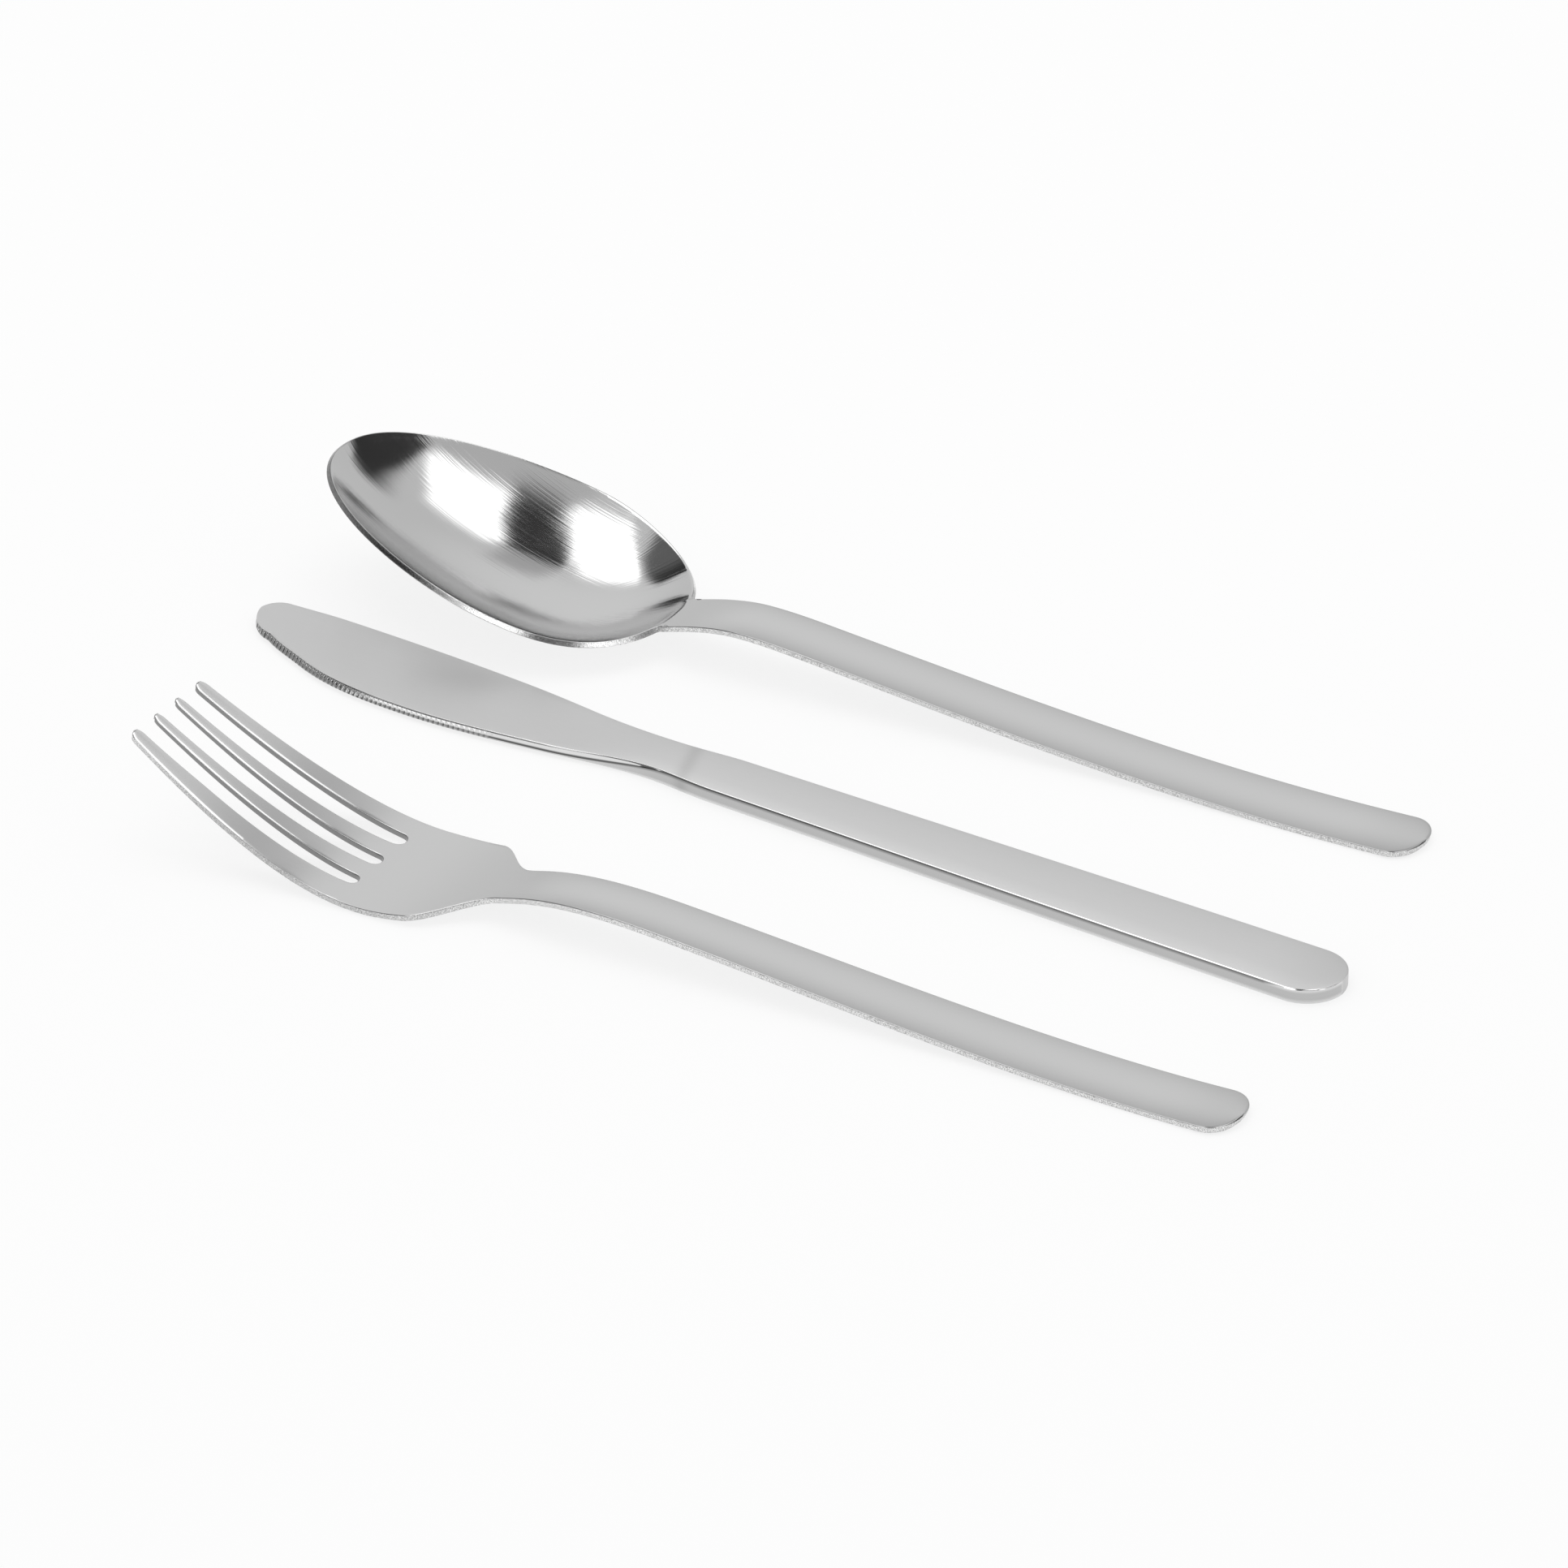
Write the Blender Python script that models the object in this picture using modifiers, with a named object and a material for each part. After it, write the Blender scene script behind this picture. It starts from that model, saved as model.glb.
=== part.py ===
"""Table spoon, table knife and table fork in satin stainless steel, laid side by side.

Every piece is modelled with its tip at x = 0 and its handle towards +X,
then laid on the table plane z = 0 and turned to its place in the set.
"""
import math

import bmesh
import bpy

MM = 0.001

# Pressed sheet of the spoon and the fork
SHEET_THICKNESS = 1.05 * MM
HANDLE_END_ROUNDING = 5.0 * MM
HANDLE_END_KICK = 0.35 * MM

# Spoon
SPOON_LENGTH = 209.8 * MM
BOWL_TIP_TO_WIDEST = 39.4 * MM
BOWL_WIDEST_TO_NECK = 27.8 * MM
BOWL_WIDTH = 47.2 * MM
BOWL_DEPTH = 9.05 * MM
BOWL_TIP_TO_DEEPEST = 35.2 * MM
BOWL_TIP_HEIGHT = 21.6 * MM
BOWL_RIM_HEIGHT_AT_WIDEST = 11.2 * MM
BOWL_RIM_LOWEST_HEIGHT = 5.65 * MM
BOWL_NOTCH_FILLET = 1.6 * MM
SPOON_NECK_LENGTH = 15.0 * MM
SPOON_NECK_WIDTH = 11.7 * MM
SPOON_CREST_HEIGHT = 8.9 * MM
SPOON_HANDLE_END_WIDTH = 13.1 * MM

# Fork
FORK_LENGTH = 200.0 * MM
TINE_LENGTH = 41.5 * MM
TINE_TIP_WIDTH = 1.9 * MM
TINE_ROOT_WIDTH = 4.4 * MM
OUTER_TINE_EXTRA_WIDTH = 0.7 * MM
TINE_TIP_ROUNDING = 1.3 * MM
FORK_TIPS_WIDTH = 21.5 * MM
FORK_HEAD_WIDTH = 28.6 * MM
INNER_TINE_SPREAD_AT_TIP = 6.2 * MM
INNER_TINE_SPREAD_AT_ROOT = 7.4 * MM
FORK_TIP_HEIGHT = 19.1 * MM
FORK_HEEL_TO_TIP = 46.0 * MM
FORK_SHOULDER_TO_TIP = 62.5 * MM
FORK_SHOULDER_LENGTH = 8.5 * MM
FORK_NECK_WIDTH = 10.3 * MM
FORK_CREST_TO_TIP = 86.0 * MM
FORK_CREST_HEIGHT = 7.08 * MM
FORK_HANDLE_END_WIDTH = 12.6 * MM

# Knife
KNIFE_LENGTH = 220.8 * MM
KNIFE_HANDLE_THICKNESS = 2.6 * MM
BLADE_THICKNESS = 1.3 * MM
BLADE_TIP_THICKNESS = 0.9 * MM
CUTTING_EDGE_THICKNESS = 0.25 * MM
CUTTING_EDGE_CHAMFER = 0.08 * MM
BLADE_LENGTH = 94.0 * MM
BLADE_BACK_OFFSET = 9.3 * MM
BLADE_BELLY_OFFSET = 10.9 * MM
BLADE_BELLY_TO_TIP = 42.0 * MM
BLADE_TIP_OFFSET = 4.5 * MM
BLADE_BACK_ROUNDING = 2.6 * MM
BLADE_EDGE_ROUNDING = 7.6 * MM
BLADE_BACK_STRAIGHT_TO_TIP = 16.0 * MM
BLADE_SWEEP_TO_TIP = 17.6 * MM
BELLY_TO_BACK_FALL = 14.0 * MM
BLADE_BACK_FALL = 1.3 * MM
HEEL_TO_WAIST = 21.0 * MM
HEEL_BELOW_WAIST = 3.2 * MM
GRIND_WIDTH = 1.5 * MM
KNIFE_WAIST_WIDTH = 10.0 * MM
KNIFE_HANDLE_START_WIDTH = 11.5 * MM
WAIST_TO_HANDLE = 12.0 * MM
KNIFE_HANDLE_END_WIDTH = 14.0 * MM
KNIFE_END_ROUNDING = 7.0 * MM
KNIFE_EDGE_CHAMFER = 0.25 * MM
SHOULDER_RAMP = 24.0 * MM
TOOTH_PITCH = 1.1 * MM
TOOTH_DEPTH = 0.35 * MM
SERRATION_TO_TIP = 6.0 * MM
SERRATION_LENGTH = 54.0 * MM

# Where the pieces lie in the set, tip from tip
SPOON_TO_KNIFE_SPACING = 31.6 * MM
KNIFE_TO_FORK_SPACING = 58.6 * MM
KNIFE_TIP_LEAD = 1.4 * MM
FORK_TIP_SETBACK = 23.3 * MM
SPOON_TURN = math.radians(0.74)
KNIFE_TURN = math.radians(-3.9)
FORK_TURN = math.radians(0.43)

SPOON_COLUMNS = 12
MERGE_DISTANCE = 0.00001


def along(knots, place):
    """Height or width at a place, on a smooth line through (place, value, slope) knots."""
    if place <= knots[0][0]:
        return knots[0][1]
    for (x0, y0, m0), (x1, y1, m1) in zip(knots, knots[1:]):
        if place <= x1:
            run = x1 - x0
            s = (place - x0) / run
            rise = y1 - y0
            return (y0 + rise * s * s * (3 - 2 * s)
                    + run * s * (1 - s) * (m0 * (1 - s) - m1 * s))
    return knots[-1][1]


def ease(s):
    """Smooth step from 0 to 1."""
    s = min(max(s, 0.0), 1.0)
    return s * s * (3 - 2 * s)


def evenly(start, stop, count):
    """Count places from start up to, but without, stop."""
    return [start + (stop - start) * k / count for k in range(count)]


def round_end(length, rounding, steps):
    """Places that crowd towards a rounded end, the last one just short of it."""
    turn = math.pi / 2
    return [length - rounding + rounding * math.sin(turn * k / steps) for k in range(steps)]


def rounded(place, length, rounding):
    """Share of the full width that is left within a rounded end."""
    s = max(place - (length - rounding), 0.0) / rounding
    return math.sqrt(max(1 - s * s, 0.0))


def steel(name, colour, roughness):
    """Metal surface of one piece."""
    material = bpy.data.materials.new(name)
    material.use_nodes = True
    shader = material.node_tree.nodes["Principled BSDF"]
    shader.inputs["Base Color"].default_value = (colour, colour, colour, 1)
    shader.inputs["Metallic"].default_value = 1.0
    shader.inputs["Roughness"].default_value = roughness
    return material


def shaped_grid(stations, columns, shape, drop=None):
    """Grid primitive whose points are moved to shape(station, column); drop names faces to cut."""
    grid = bmesh.new()
    nx = len(stations) - 1
    ny = columns - 1
    bmesh.ops.create_grid(grid, x_segments=nx, y_segments=ny, size=1)
    index = {}
    for vert in grid.verts:
        i = round((vert.co.x + 1) / 2 * nx)
        j = round((vert.co.y + 1) / 2 * ny)
        index[vert] = (i, j)
    if drop:
        cut = [face for face in grid.faces
               if drop(stations[min(index[v][0] for v in face.verts)],
                       min(index[v][1] for v in face.verts))]
        bmesh.ops.delete(grid, geom=cut, context='FACES')
    for vert in grid.verts:
        i, j = index[vert]
        vert.co = shape(stations[i], j)
    return grid


def as_object(grid, name, collection, material):
    """Object from a finished bmesh, shaded smooth with its edges kept sharp."""
    bmesh.ops.remove_doubles(grid, verts=grid.verts, dist=MERGE_DISTANCE)
    mesh = bpy.data.meshes.new(name)
    grid.to_mesh(mesh)
    grid.free()
    mesh.shade_smooth()
    mesh.set_sharp_from_angle(angle=math.radians(35))
    mesh.materials.append(material)
    piece = bpy.data.objects.new(name, mesh)
    collection.objects.link(piece)
    return piece


def thicken(piece):
    """Give an open sheet its wall, below the modelled top surface."""
    wall = piece.modifiers.new("wall", 'SOLIDIFY')
    wall.thickness = SHEET_THICKNESS
    wall.offset = -1
    wall.use_even_offset = True
    wall.use_quality_normals = True


# Spoon

SPOON_HANDLE_START = BOWL_TIP_TO_WIDEST + BOWL_WIDEST_TO_NECK
SPOON_CREST = SPOON_HANDLE_START + SPOON_NECK_LENGTH
SPOON_RUN = SPOON_LENGTH - SPOON_CREST
SPOON_FALL = SPOON_CREST_HEIGHT - SHEET_THICKNESS
SPOON_REST = SPOON_LENGTH - 4 * HANDLE_END_ROUNDING

SPOON_HEIGHTS = [
    (0.0, BOWL_TIP_HEIGHT, -0.27),
    (BOWL_TIP_TO_WIDEST, BOWL_RIM_HEIGHT_AT_WIDEST, -0.25),
    (SPOON_HANDLE_START - 3.0 * MM, BOWL_RIM_LOWEST_HEIGHT, 0.03),
    (SPOON_HANDLE_START + 0.3 * SPOON_NECK_LENGTH,
     BOWL_RIM_LOWEST_HEIGHT + 0.5 * (SPOON_CREST_HEIGHT - BOWL_RIM_LOWEST_HEIGHT), 0.26),
    (SPOON_CREST, SPOON_CREST_HEIGHT, 0.0),
    (SPOON_CREST + 0.13 * SPOON_RUN, SPOON_CREST_HEIGHT - 0.16 * SPOON_FALL,
     -1.69 * SPOON_FALL / SPOON_RUN),
    (SPOON_REST, SHEET_THICKNESS, 0.0),
    (SPOON_LENGTH, SHEET_THICKNESS + HANDLE_END_KICK, 0.03),
]


def bowl_share(x):
    """Share of the bowl's full width at x, 0 outside it."""
    if x <= BOWL_TIP_TO_WIDEST:
        s = min((BOWL_TIP_TO_WIDEST - x) / BOWL_TIP_TO_WIDEST, 1.0)
        return (1 - s ** 1.7) ** 0.46
    s = min((x - BOWL_TIP_TO_WIDEST) / BOWL_WIDEST_TO_NECK, 1.0)
    return math.sqrt(1 - s * s)


def bowl_depth(x):
    """Depth of the bowl's middle line below its rim at x."""
    if x <= BOWL_TIP_TO_DEEPEST:
        s = min((BOWL_TIP_TO_DEEPEST - x) / BOWL_TIP_TO_DEEPEST, 1.0)
        return BOWL_DEPTH * (1 - s ** 2.2) ** 0.75
    run = SPOON_HANDLE_START - BOWL_TIP_TO_DEEPEST
    s = min((x - BOWL_TIP_TO_DEEPEST) / run, 1.0)
    return BOWL_DEPTH * (1 - s ** 2.3) ** 1.3


def spoon_half_width(x):
    bowl = BOWL_WIDTH / 2 * bowl_share(x)
    if x < BOWL_TIP_TO_WIDEST:
        return bowl
    start = SPOON_HANDLE_START
    handle = along([(start, SPOON_NECK_WIDTH / 2, 0.0),
                    (SPOON_LENGTH, SPOON_HANDLE_END_WIDTH / 2, 0.003)], x)
    gap = abs(bowl - handle)
    blend = max(BOWL_NOTCH_FILLET - gap, 0.0) ** 2 / (4 * BOWL_NOTCH_FILLET)
    return (max(bowl, handle) + blend) * rounded(x, SPOON_LENGTH, HANDLE_END_ROUNDING)


def spoon_point(x, column):
    t = 2 * column / SPOON_COLUMNS - 1
    half = spoon_half_width(x)
    hollow = bowl_depth(x) * (1 - abs(t) ** 2.1)
    return (x, t * half, along(SPOON_HEIGHTS, x) - hollow)


def make_spoon(collection):
    front = [BOWL_TIP_TO_WIDEST * (1 - math.cos(math.radians(a))) for a in [5] + list(range(11, 90, 6))]
    back = [BOWL_TIP_TO_WIDEST + BOWL_WIDEST_TO_NECK * math.sin(math.radians(a))
            for a in range(0, 90, 7)]
    notch = SPOON_HANDLE_START
    neck = evenly(notch, SPOON_CREST + 0.13 * SPOON_RUN, 10)
    handle = evenly(SPOON_CREST + 0.13 * SPOON_RUN, SPOON_LENGTH - HANDLE_END_ROUNDING, 14)
    stations = front + back + neck + handle + round_end(SPOON_LENGTH, HANDLE_END_ROUNDING, 6)
    grid = shaped_grid(stations, SPOON_COLUMNS + 1, spoon_point)
    spoon = as_object(grid, "spoon", collection, steel("spoon_steel", 0.62, 0.24))
    thicken(spoon)
    return spoon


# Fork

FORK_RUN = FORK_LENGTH - FORK_CREST_TO_TIP
FORK_FALL = FORK_CREST_HEIGHT - SHEET_THICKNESS
FORK_REST = FORK_LENGTH - 3.2 * HANDLE_END_ROUNDING
TINE_CURVE = FORK_TIP_HEIGHT - SHEET_THICKNESS
HEEL_TO_CREST = FORK_CREST_TO_TIP - FORK_HEEL_TO_TIP

FORK_HEIGHTS = [
    (0.0, FORK_TIP_HEIGHT, -1.57 * TINE_CURVE / FORK_HEEL_TO_TIP),
    (0.478 * FORK_HEEL_TO_TIP, SHEET_THICKNESS + 0.338 * TINE_CURVE,
     -1.12 * TINE_CURVE / FORK_HEEL_TO_TIP),
    (FORK_HEEL_TO_TIP, SHEET_THICKNESS, 0.0),
    (FORK_HEEL_TO_TIP + 0.6 * HEEL_TO_CREST, SHEET_THICKNESS + 0.69 * FORK_FALL,
     1.8 * FORK_FALL / HEEL_TO_CREST),
    (FORK_CREST_TO_TIP, FORK_CREST_HEIGHT, 0.0),
    (FORK_CREST_TO_TIP + 0.13 * FORK_RUN, FORK_CREST_HEIGHT - 0.125 * FORK_FALL,
     -1.45 * FORK_FALL / FORK_RUN),
    (FORK_REST, SHEET_THICKNESS, 0.0),
    (FORK_LENGTH, SHEET_THICKNESS + HANDLE_END_KICK, 0.03),
]

# Lines that run along the fork: both edges of each tine, and the middle of each slot
TINE_EDGE_COLUMNS = ((0, 1), (3, 4), (6, 7), (9, 10))
SLOT_COLUMNS = ((1, 2, 3), (4, 5, 6), (7, 8, 9))
FORK_COLUMNS = 11


def fork_half_width(x):
    head = along([(0.0, FORK_TIPS_WIDTH / 2, 0.11),
                  (FORK_HEEL_TO_TIP, FORK_HEAD_WIDTH / 2, 0.0)], x)
    handle = along([(FORK_SHOULDER_TO_TIP, FORK_NECK_WIDTH / 2, 0.003),
                    (FORK_LENGTH, FORK_HANDLE_END_WIDTH / 2, 0.008)], x)
    start = FORK_SHOULDER_TO_TIP - FORK_SHOULDER_LENGTH
    stop = FORK_SHOULDER_TO_TIP + 0.5 * FORK_SHOULDER_LENGTH
    share = ease((x - start) / (stop - start))
    taper = ease((x - FORK_HEEL_TO_TIP) / (stop - FORK_HEEL_TO_TIP))
    width = head * (1 - 0.12 * taper) * (1 - share) + handle * share
    return width * rounded(x, FORK_LENGTH, HANDLE_END_ROUNDING)


def fork_lines(x):
    """Distance of each long line from the fork's middle at x."""
    half = fork_half_width(x)
    s = min(x / TINE_LENGTH, 1.0)
    tine = (TINE_TIP_WIDTH + (TINE_ROOT_WIDTH - TINE_TIP_WIDTH) * s) / 2
    inner = (INNER_TINE_SPREAD_AT_TIP
             + (INNER_TINE_SPREAD_AT_ROOT - INNER_TINE_SPREAD_AT_TIP) * s) / 2
    extra = OUTER_TINE_EXTRA_WIDTH / 2
    outer = half - tine - extra
    tip = 1.0
    if x < TINE_TIP_ROUNDING:
        tip = 0.45 + 0.55 * math.sqrt(1 - (1 - x / TINE_TIP_ROUNDING) ** 2)
    lines = [0.0] * FORK_COLUMNS
    middles = ((-outer, extra), (-inner, 0.0), (inner, 0.0), (outer, extra))
    for (left, right), (middle, more) in zip(TINE_EDGE_COLUMNS, middles):
        lines[left] = middle - (tine + more) * tip
        lines[right] = middle + (tine + more) * tip
    for left, middle, right in SLOT_COLUMNS:
        centre = (lines[left] + lines[right]) / 2
        reach = (lines[right] - lines[left]) / 2
        s = max(x - (TINE_LENGTH - reach), 0.0) / reach
        reach = reach * math.sqrt(max(1 - s * s, 0.0))
        lines[left], lines[middle], lines[right] = centre - reach, centre, centre + reach
    even = [half * (2 * k / (FORK_COLUMNS - 1) - 1) for k in range(FORK_COLUMNS)]
    share = ease((x - TINE_LENGTH) / (FORK_SHOULDER_TO_TIP - TINE_LENGTH))
    return [a * (1 - share) + b * share for a, b in zip(lines, even)]


def fork_point(x, column):
    return (x, fork_lines(x)[column], along(FORK_HEIGHTS, x))


def in_slot(x, column):
    """True for a face that lies between two tines."""
    return x < TINE_LENGTH - 0.01 * MM and any(left <= column < right
                                               for left, middle, right in SLOT_COLUMNS)


def make_fork(collection):
    root = (FORK_HEAD_WIDTH - 4 * TINE_ROOT_WIDTH - 2 * OUTER_TINE_EXTRA_WIDTH) / 6
    tips = [TINE_TIP_ROUNDING * s for s in (0.0, 0.12, 0.4, 1.0)]
    tines = evenly(TINE_TIP_ROUNDING, TINE_LENGTH - root, 13)[1:]
    roots = [TINE_LENGTH - root + root * math.sin(math.radians(a)) for a in (0, 30, 55, 75, 90)]
    start = FORK_SHOULDER_TO_TIP - FORK_SHOULDER_LENGTH
    stop = FORK_SHOULDER_TO_TIP + 0.5 * FORK_SHOULDER_LENGTH
    head = evenly(TINE_LENGTH, start, 5)[1:]
    shoulder = evenly(start, stop, 10)
    neck = evenly(stop, FORK_CREST_TO_TIP + 0.13 * FORK_RUN, 8)
    handle = evenly(FORK_CREST_TO_TIP + 0.13 * FORK_RUN, FORK_LENGTH - HANDLE_END_ROUNDING, 12)
    stations = (tips + tines + roots + head + shoulder + neck + handle
                + round_end(FORK_LENGTH, HANDLE_END_ROUNDING, 6))
    grid = shaped_grid(stations, FORK_COLUMNS, fork_point, drop=in_slot)
    fork = as_object(grid, "fork", collection, steel("fork_steel", 0.60, 0.26))
    thicken(fork)
    return fork


# Knife

HANDLE_START = BLADE_LENGTH
WAIST = BLADE_LENGTH - 4.0 * MM
HALF_HANDLE = KNIFE_HANDLE_THICKNESS / 2
KNIFE_RING_POINTS = 8

BLADE_BACK = [
    (BLADE_BACK_ROUNDING, BLADE_BACK_OFFSET - 0.9 * MM, 0.45),
    (BLADE_BACK_STRAIGHT_TO_TIP, BLADE_BACK_OFFSET, 0.0),
    (BLADE_BELLY_TO_TIP + BELLY_TO_BACK_FALL, BLADE_BACK_OFFSET - BLADE_BACK_FALL, -0.068),
    (WAIST, KNIFE_WAIST_WIDTH / 2, 0.0),
    (WAIST + WAIST_TO_HANDLE, KNIFE_HANDLE_START_WIDTH / 2, 0.012),
    (KNIFE_LENGTH - KNIFE_END_ROUNDING, KNIFE_HANDLE_END_WIDTH / 2, 0.003),
]
BLADE_EDGE = [
    (BLADE_EDGE_ROUNDING, -(0.26 * BLADE_BELLY_OFFSET), -0.62),
    (BLADE_SWEEP_TO_TIP, -(0.66 * BLADE_BELLY_OFFSET), -0.42),
    (BLADE_BELLY_TO_TIP, -BLADE_BELLY_OFFSET, 0.0),
    (WAIST - HEEL_TO_WAIST, -(KNIFE_WAIST_WIDTH / 2 + HEEL_BELOW_WAIST), 0.15),
    (WAIST, -KNIFE_WAIST_WIDTH / 2, 0.0),
    (WAIST + WAIST_TO_HANDLE, -KNIFE_HANDLE_START_WIDTH / 2, -0.012),
    (KNIFE_LENGTH - KNIFE_END_ROUNDING, -KNIFE_HANDLE_END_WIDTH / 2, -0.003),
]


def knife_back(x):
    end = rounded(x, KNIFE_LENGTH, KNIFE_END_ROUNDING)
    first = BLADE_BACK[0]
    if x < first[0]:
        s = 1 - x / first[0]
        return BLADE_TIP_OFFSET + (first[1] - BLADE_TIP_OFFSET) * math.sqrt(1 - s * s)
    return along(BLADE_BACK, x) * end


def knife_edge(x):
    end = rounded(x, KNIFE_LENGTH, KNIFE_END_ROUNDING)
    first = BLADE_EDGE[0]
    if x < first[0]:
        s = 1 - x / first[0]
        return BLADE_TIP_OFFSET + (first[1] - BLADE_TIP_OFFSET) * math.sqrt(1 - s ** 1.8)
    return along(BLADE_EDGE, x) * end


def handle_share(x):
    """0 on the blade, 1 on the handle, with a ramp between them."""
    return ease((x - (HANDLE_START - SHOULDER_RAMP)) / SHOULDER_RAMP)


def tooth(x):
    """Depth of the serration at x: a zigzag of TOOTH_PITCH that starts behind the tip."""
    count = round(SERRATION_LENGTH / TOOTH_PITCH)
    phase = (x - SERRATION_TO_TIP) / TOOTH_PITCH
    if phase < 0 or phase > count:
        return 0.0
    return TOOTH_DEPTH * (1 - abs(2 * (phase % 1.0) - 1))


def knife_point(x, column):
    """Point of the knife's section at x: the blade is ground from above, down to its edge."""
    share = handle_share(x)
    blade = BLADE_TIP_THICKNESS + (BLADE_THICKNESS - BLADE_TIP_THICKNESS) * ease(
        x / (HANDLE_START - SHOULDER_RAMP))
    top = blade / 2 * (1 - share) + HALF_HANDLE * share
    edge = (CUTTING_EDGE_THICKNESS - top) * (1 - share) + (top - KNIFE_EDGE_CHAMFER) * share
    near = knife_edge(x)
    back = knife_back(x)
    room = (back - near) / 4
    grind = min(GRIND_WIDTH * (1 - share) + KNIFE_EDGE_CHAMFER * share, room)
    under = min(CUTTING_EDGE_CHAMFER * (1 - share) + KNIFE_EDGE_CHAMFER * share, room)
    chamfer = min(KNIFE_EDGE_CHAMFER, room)
    ring = (
        (near + tooth(x), edge),
        (near + grind, top),
        (back - chamfer, top),
        (back, top - chamfer),
        (back, chamfer - top),
        (back - chamfer, -top),
        (near + tooth(x) + under, -top),
        (near + tooth(x), under - top),
    )
    y, z = ring[column % KNIFE_RING_POINTS]
    return (x, y, z)


def make_knife(collection):
    tip = [BLADE_BACK_ROUNDING * (1 - math.cos(math.radians(a))) for a in (25, 45, 65, 90)]
    gap = 0.5 * (BLADE_BACK_ROUNDING + SERRATION_TO_TIP)
    count = round(SERRATION_LENGTH / TOOTH_PITCH)
    teeth = [SERRATION_TO_TIP + TOOTH_PITCH * k / 2 for k in range(2 * count + 1)]
    behind = evenly(teeth[-1], HANDLE_START, 12)[1:]
    handle = evenly(HANDLE_START, KNIFE_LENGTH - KNIFE_END_ROUNDING, 8)
    stations = (tip + [gap] + teeth + behind + handle
                + round_end(KNIFE_LENGTH, KNIFE_END_ROUNDING, 8))
    ring = shaped_grid(stations, KNIFE_RING_POINTS + 1, knife_point)
    bmesh.ops.remove_doubles(ring, verts=ring.verts, dist=MERGE_DISTANCE)
    bmesh.ops.holes_fill(ring, edges=[edge for edge in ring.edges if edge.is_boundary])
    bmesh.ops.recalc_face_normals(ring, faces=ring.faces)
    return as_object(ring, "knife", collection, steel("knife_steel", 0.60, 0.27))


def lay_down(piece):
    """Set a piece on the table plane by its lowest point."""
    bpy.context.view_layer.update()
    shown = piece.evaluated_get(bpy.context.evaluated_depsgraph_get())
    piece.location.z = -min(v.co.z for v in shown.data.vertices)


def centre_set(pieces, holder):
    """Move the set's holder so that the middle of the set's box stands over the origin."""
    bpy.context.view_layer.update()
    graph = bpy.context.evaluated_depsgraph_get()
    points = []
    for piece in pieces:
        shown = piece.evaluated_get(graph)
        points += [shown.matrix_world @ v.co for v in shown.data.vertices]
    for axis in (0, 1):
        low = min(p[axis] for p in points)
        high = max(p[axis] for p in points)
        holder.location[axis] -= (low + high) / 2


def main():
    for old in list(bpy.data.objects):
        bpy.data.objects.remove(old)
    collection = bpy.data.collections.new("cutlery_set")
    bpy.context.scene.collection.children.link(collection)
    holder = bpy.data.objects.new("set_middle", None)
    collection.objects.link(holder)

    spoon = make_spoon(collection)
    knife = make_knife(collection)
    fork = make_fork(collection)

    knife.location.x = -KNIFE_TIP_LEAD
    knife.location.y = -SPOON_TO_KNIFE_SPACING
    fork.location.x = FORK_TIP_SETBACK
    fork.location.y = -(SPOON_TO_KNIFE_SPACING + KNIFE_TO_FORK_SPACING)
    for piece, turn in ((spoon, SPOON_TURN), (knife, KNIFE_TURN), (fork, FORK_TURN)):
        piece.rotation_euler.z = turn
        piece.parent = holder
        lay_down(piece)
    centre_set((spoon, knife, fork), holder)


main()
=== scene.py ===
"""Looks of a cutlery set in satin stainless steel: a spoon, a knife and a fork on a white table."""
from math import cos, exp, pi, radians, sin, sqrt

import bmesh
import bpy
from mathutils import Matrix, Vector


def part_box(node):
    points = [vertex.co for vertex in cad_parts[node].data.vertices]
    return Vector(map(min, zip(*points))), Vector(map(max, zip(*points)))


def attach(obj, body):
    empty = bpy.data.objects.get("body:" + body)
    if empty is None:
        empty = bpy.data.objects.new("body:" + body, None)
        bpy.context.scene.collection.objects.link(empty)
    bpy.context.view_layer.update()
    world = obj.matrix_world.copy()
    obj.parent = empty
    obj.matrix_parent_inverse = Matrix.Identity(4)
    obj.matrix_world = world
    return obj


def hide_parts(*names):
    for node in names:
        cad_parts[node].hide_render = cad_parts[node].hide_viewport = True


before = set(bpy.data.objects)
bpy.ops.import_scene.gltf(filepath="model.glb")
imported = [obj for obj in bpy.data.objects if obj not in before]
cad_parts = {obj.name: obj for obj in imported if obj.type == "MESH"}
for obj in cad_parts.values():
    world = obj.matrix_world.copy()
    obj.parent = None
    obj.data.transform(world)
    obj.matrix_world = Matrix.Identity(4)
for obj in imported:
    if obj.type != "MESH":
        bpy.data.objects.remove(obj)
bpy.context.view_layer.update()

MM = 0.001

# Pressed sheet of the spoon and the fork
SHEET_THICKNESS = 1.05 * MM
SHEET_EDGE_ROUNDING = 0.17 * MM
ROUNDED_EDGE_STEPS = 2
ROUNDED_OVER_ANGLE = radians(50)
HANDLE_CROWN = 0.22 * MM
WELD_DISTANCE = 0.001 * MM
# Painted shade on the handles: their colour is darker along their long edges and towards their
# ends, standing in for darker reflections there
PAINTED_SHADE_AT_FAR_EDGE = 0.16
PAINTED_SHADE_AT_NEAR_EDGE = 0.28
PAINTED_SHADE_AT_END = 0.08
PAINTED_SHADE_END_LENGTH = 16.0 * MM
PAINTED_SHADE_BEGINS_OVER = 20.0 * MM
HANDLE_END_ROUNDING = 5.0 * MM
HANDLE_END_KICK = 0.35 * MM
HANDLE_END_STEP = 5
CREST_SHARE = 0.13

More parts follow.
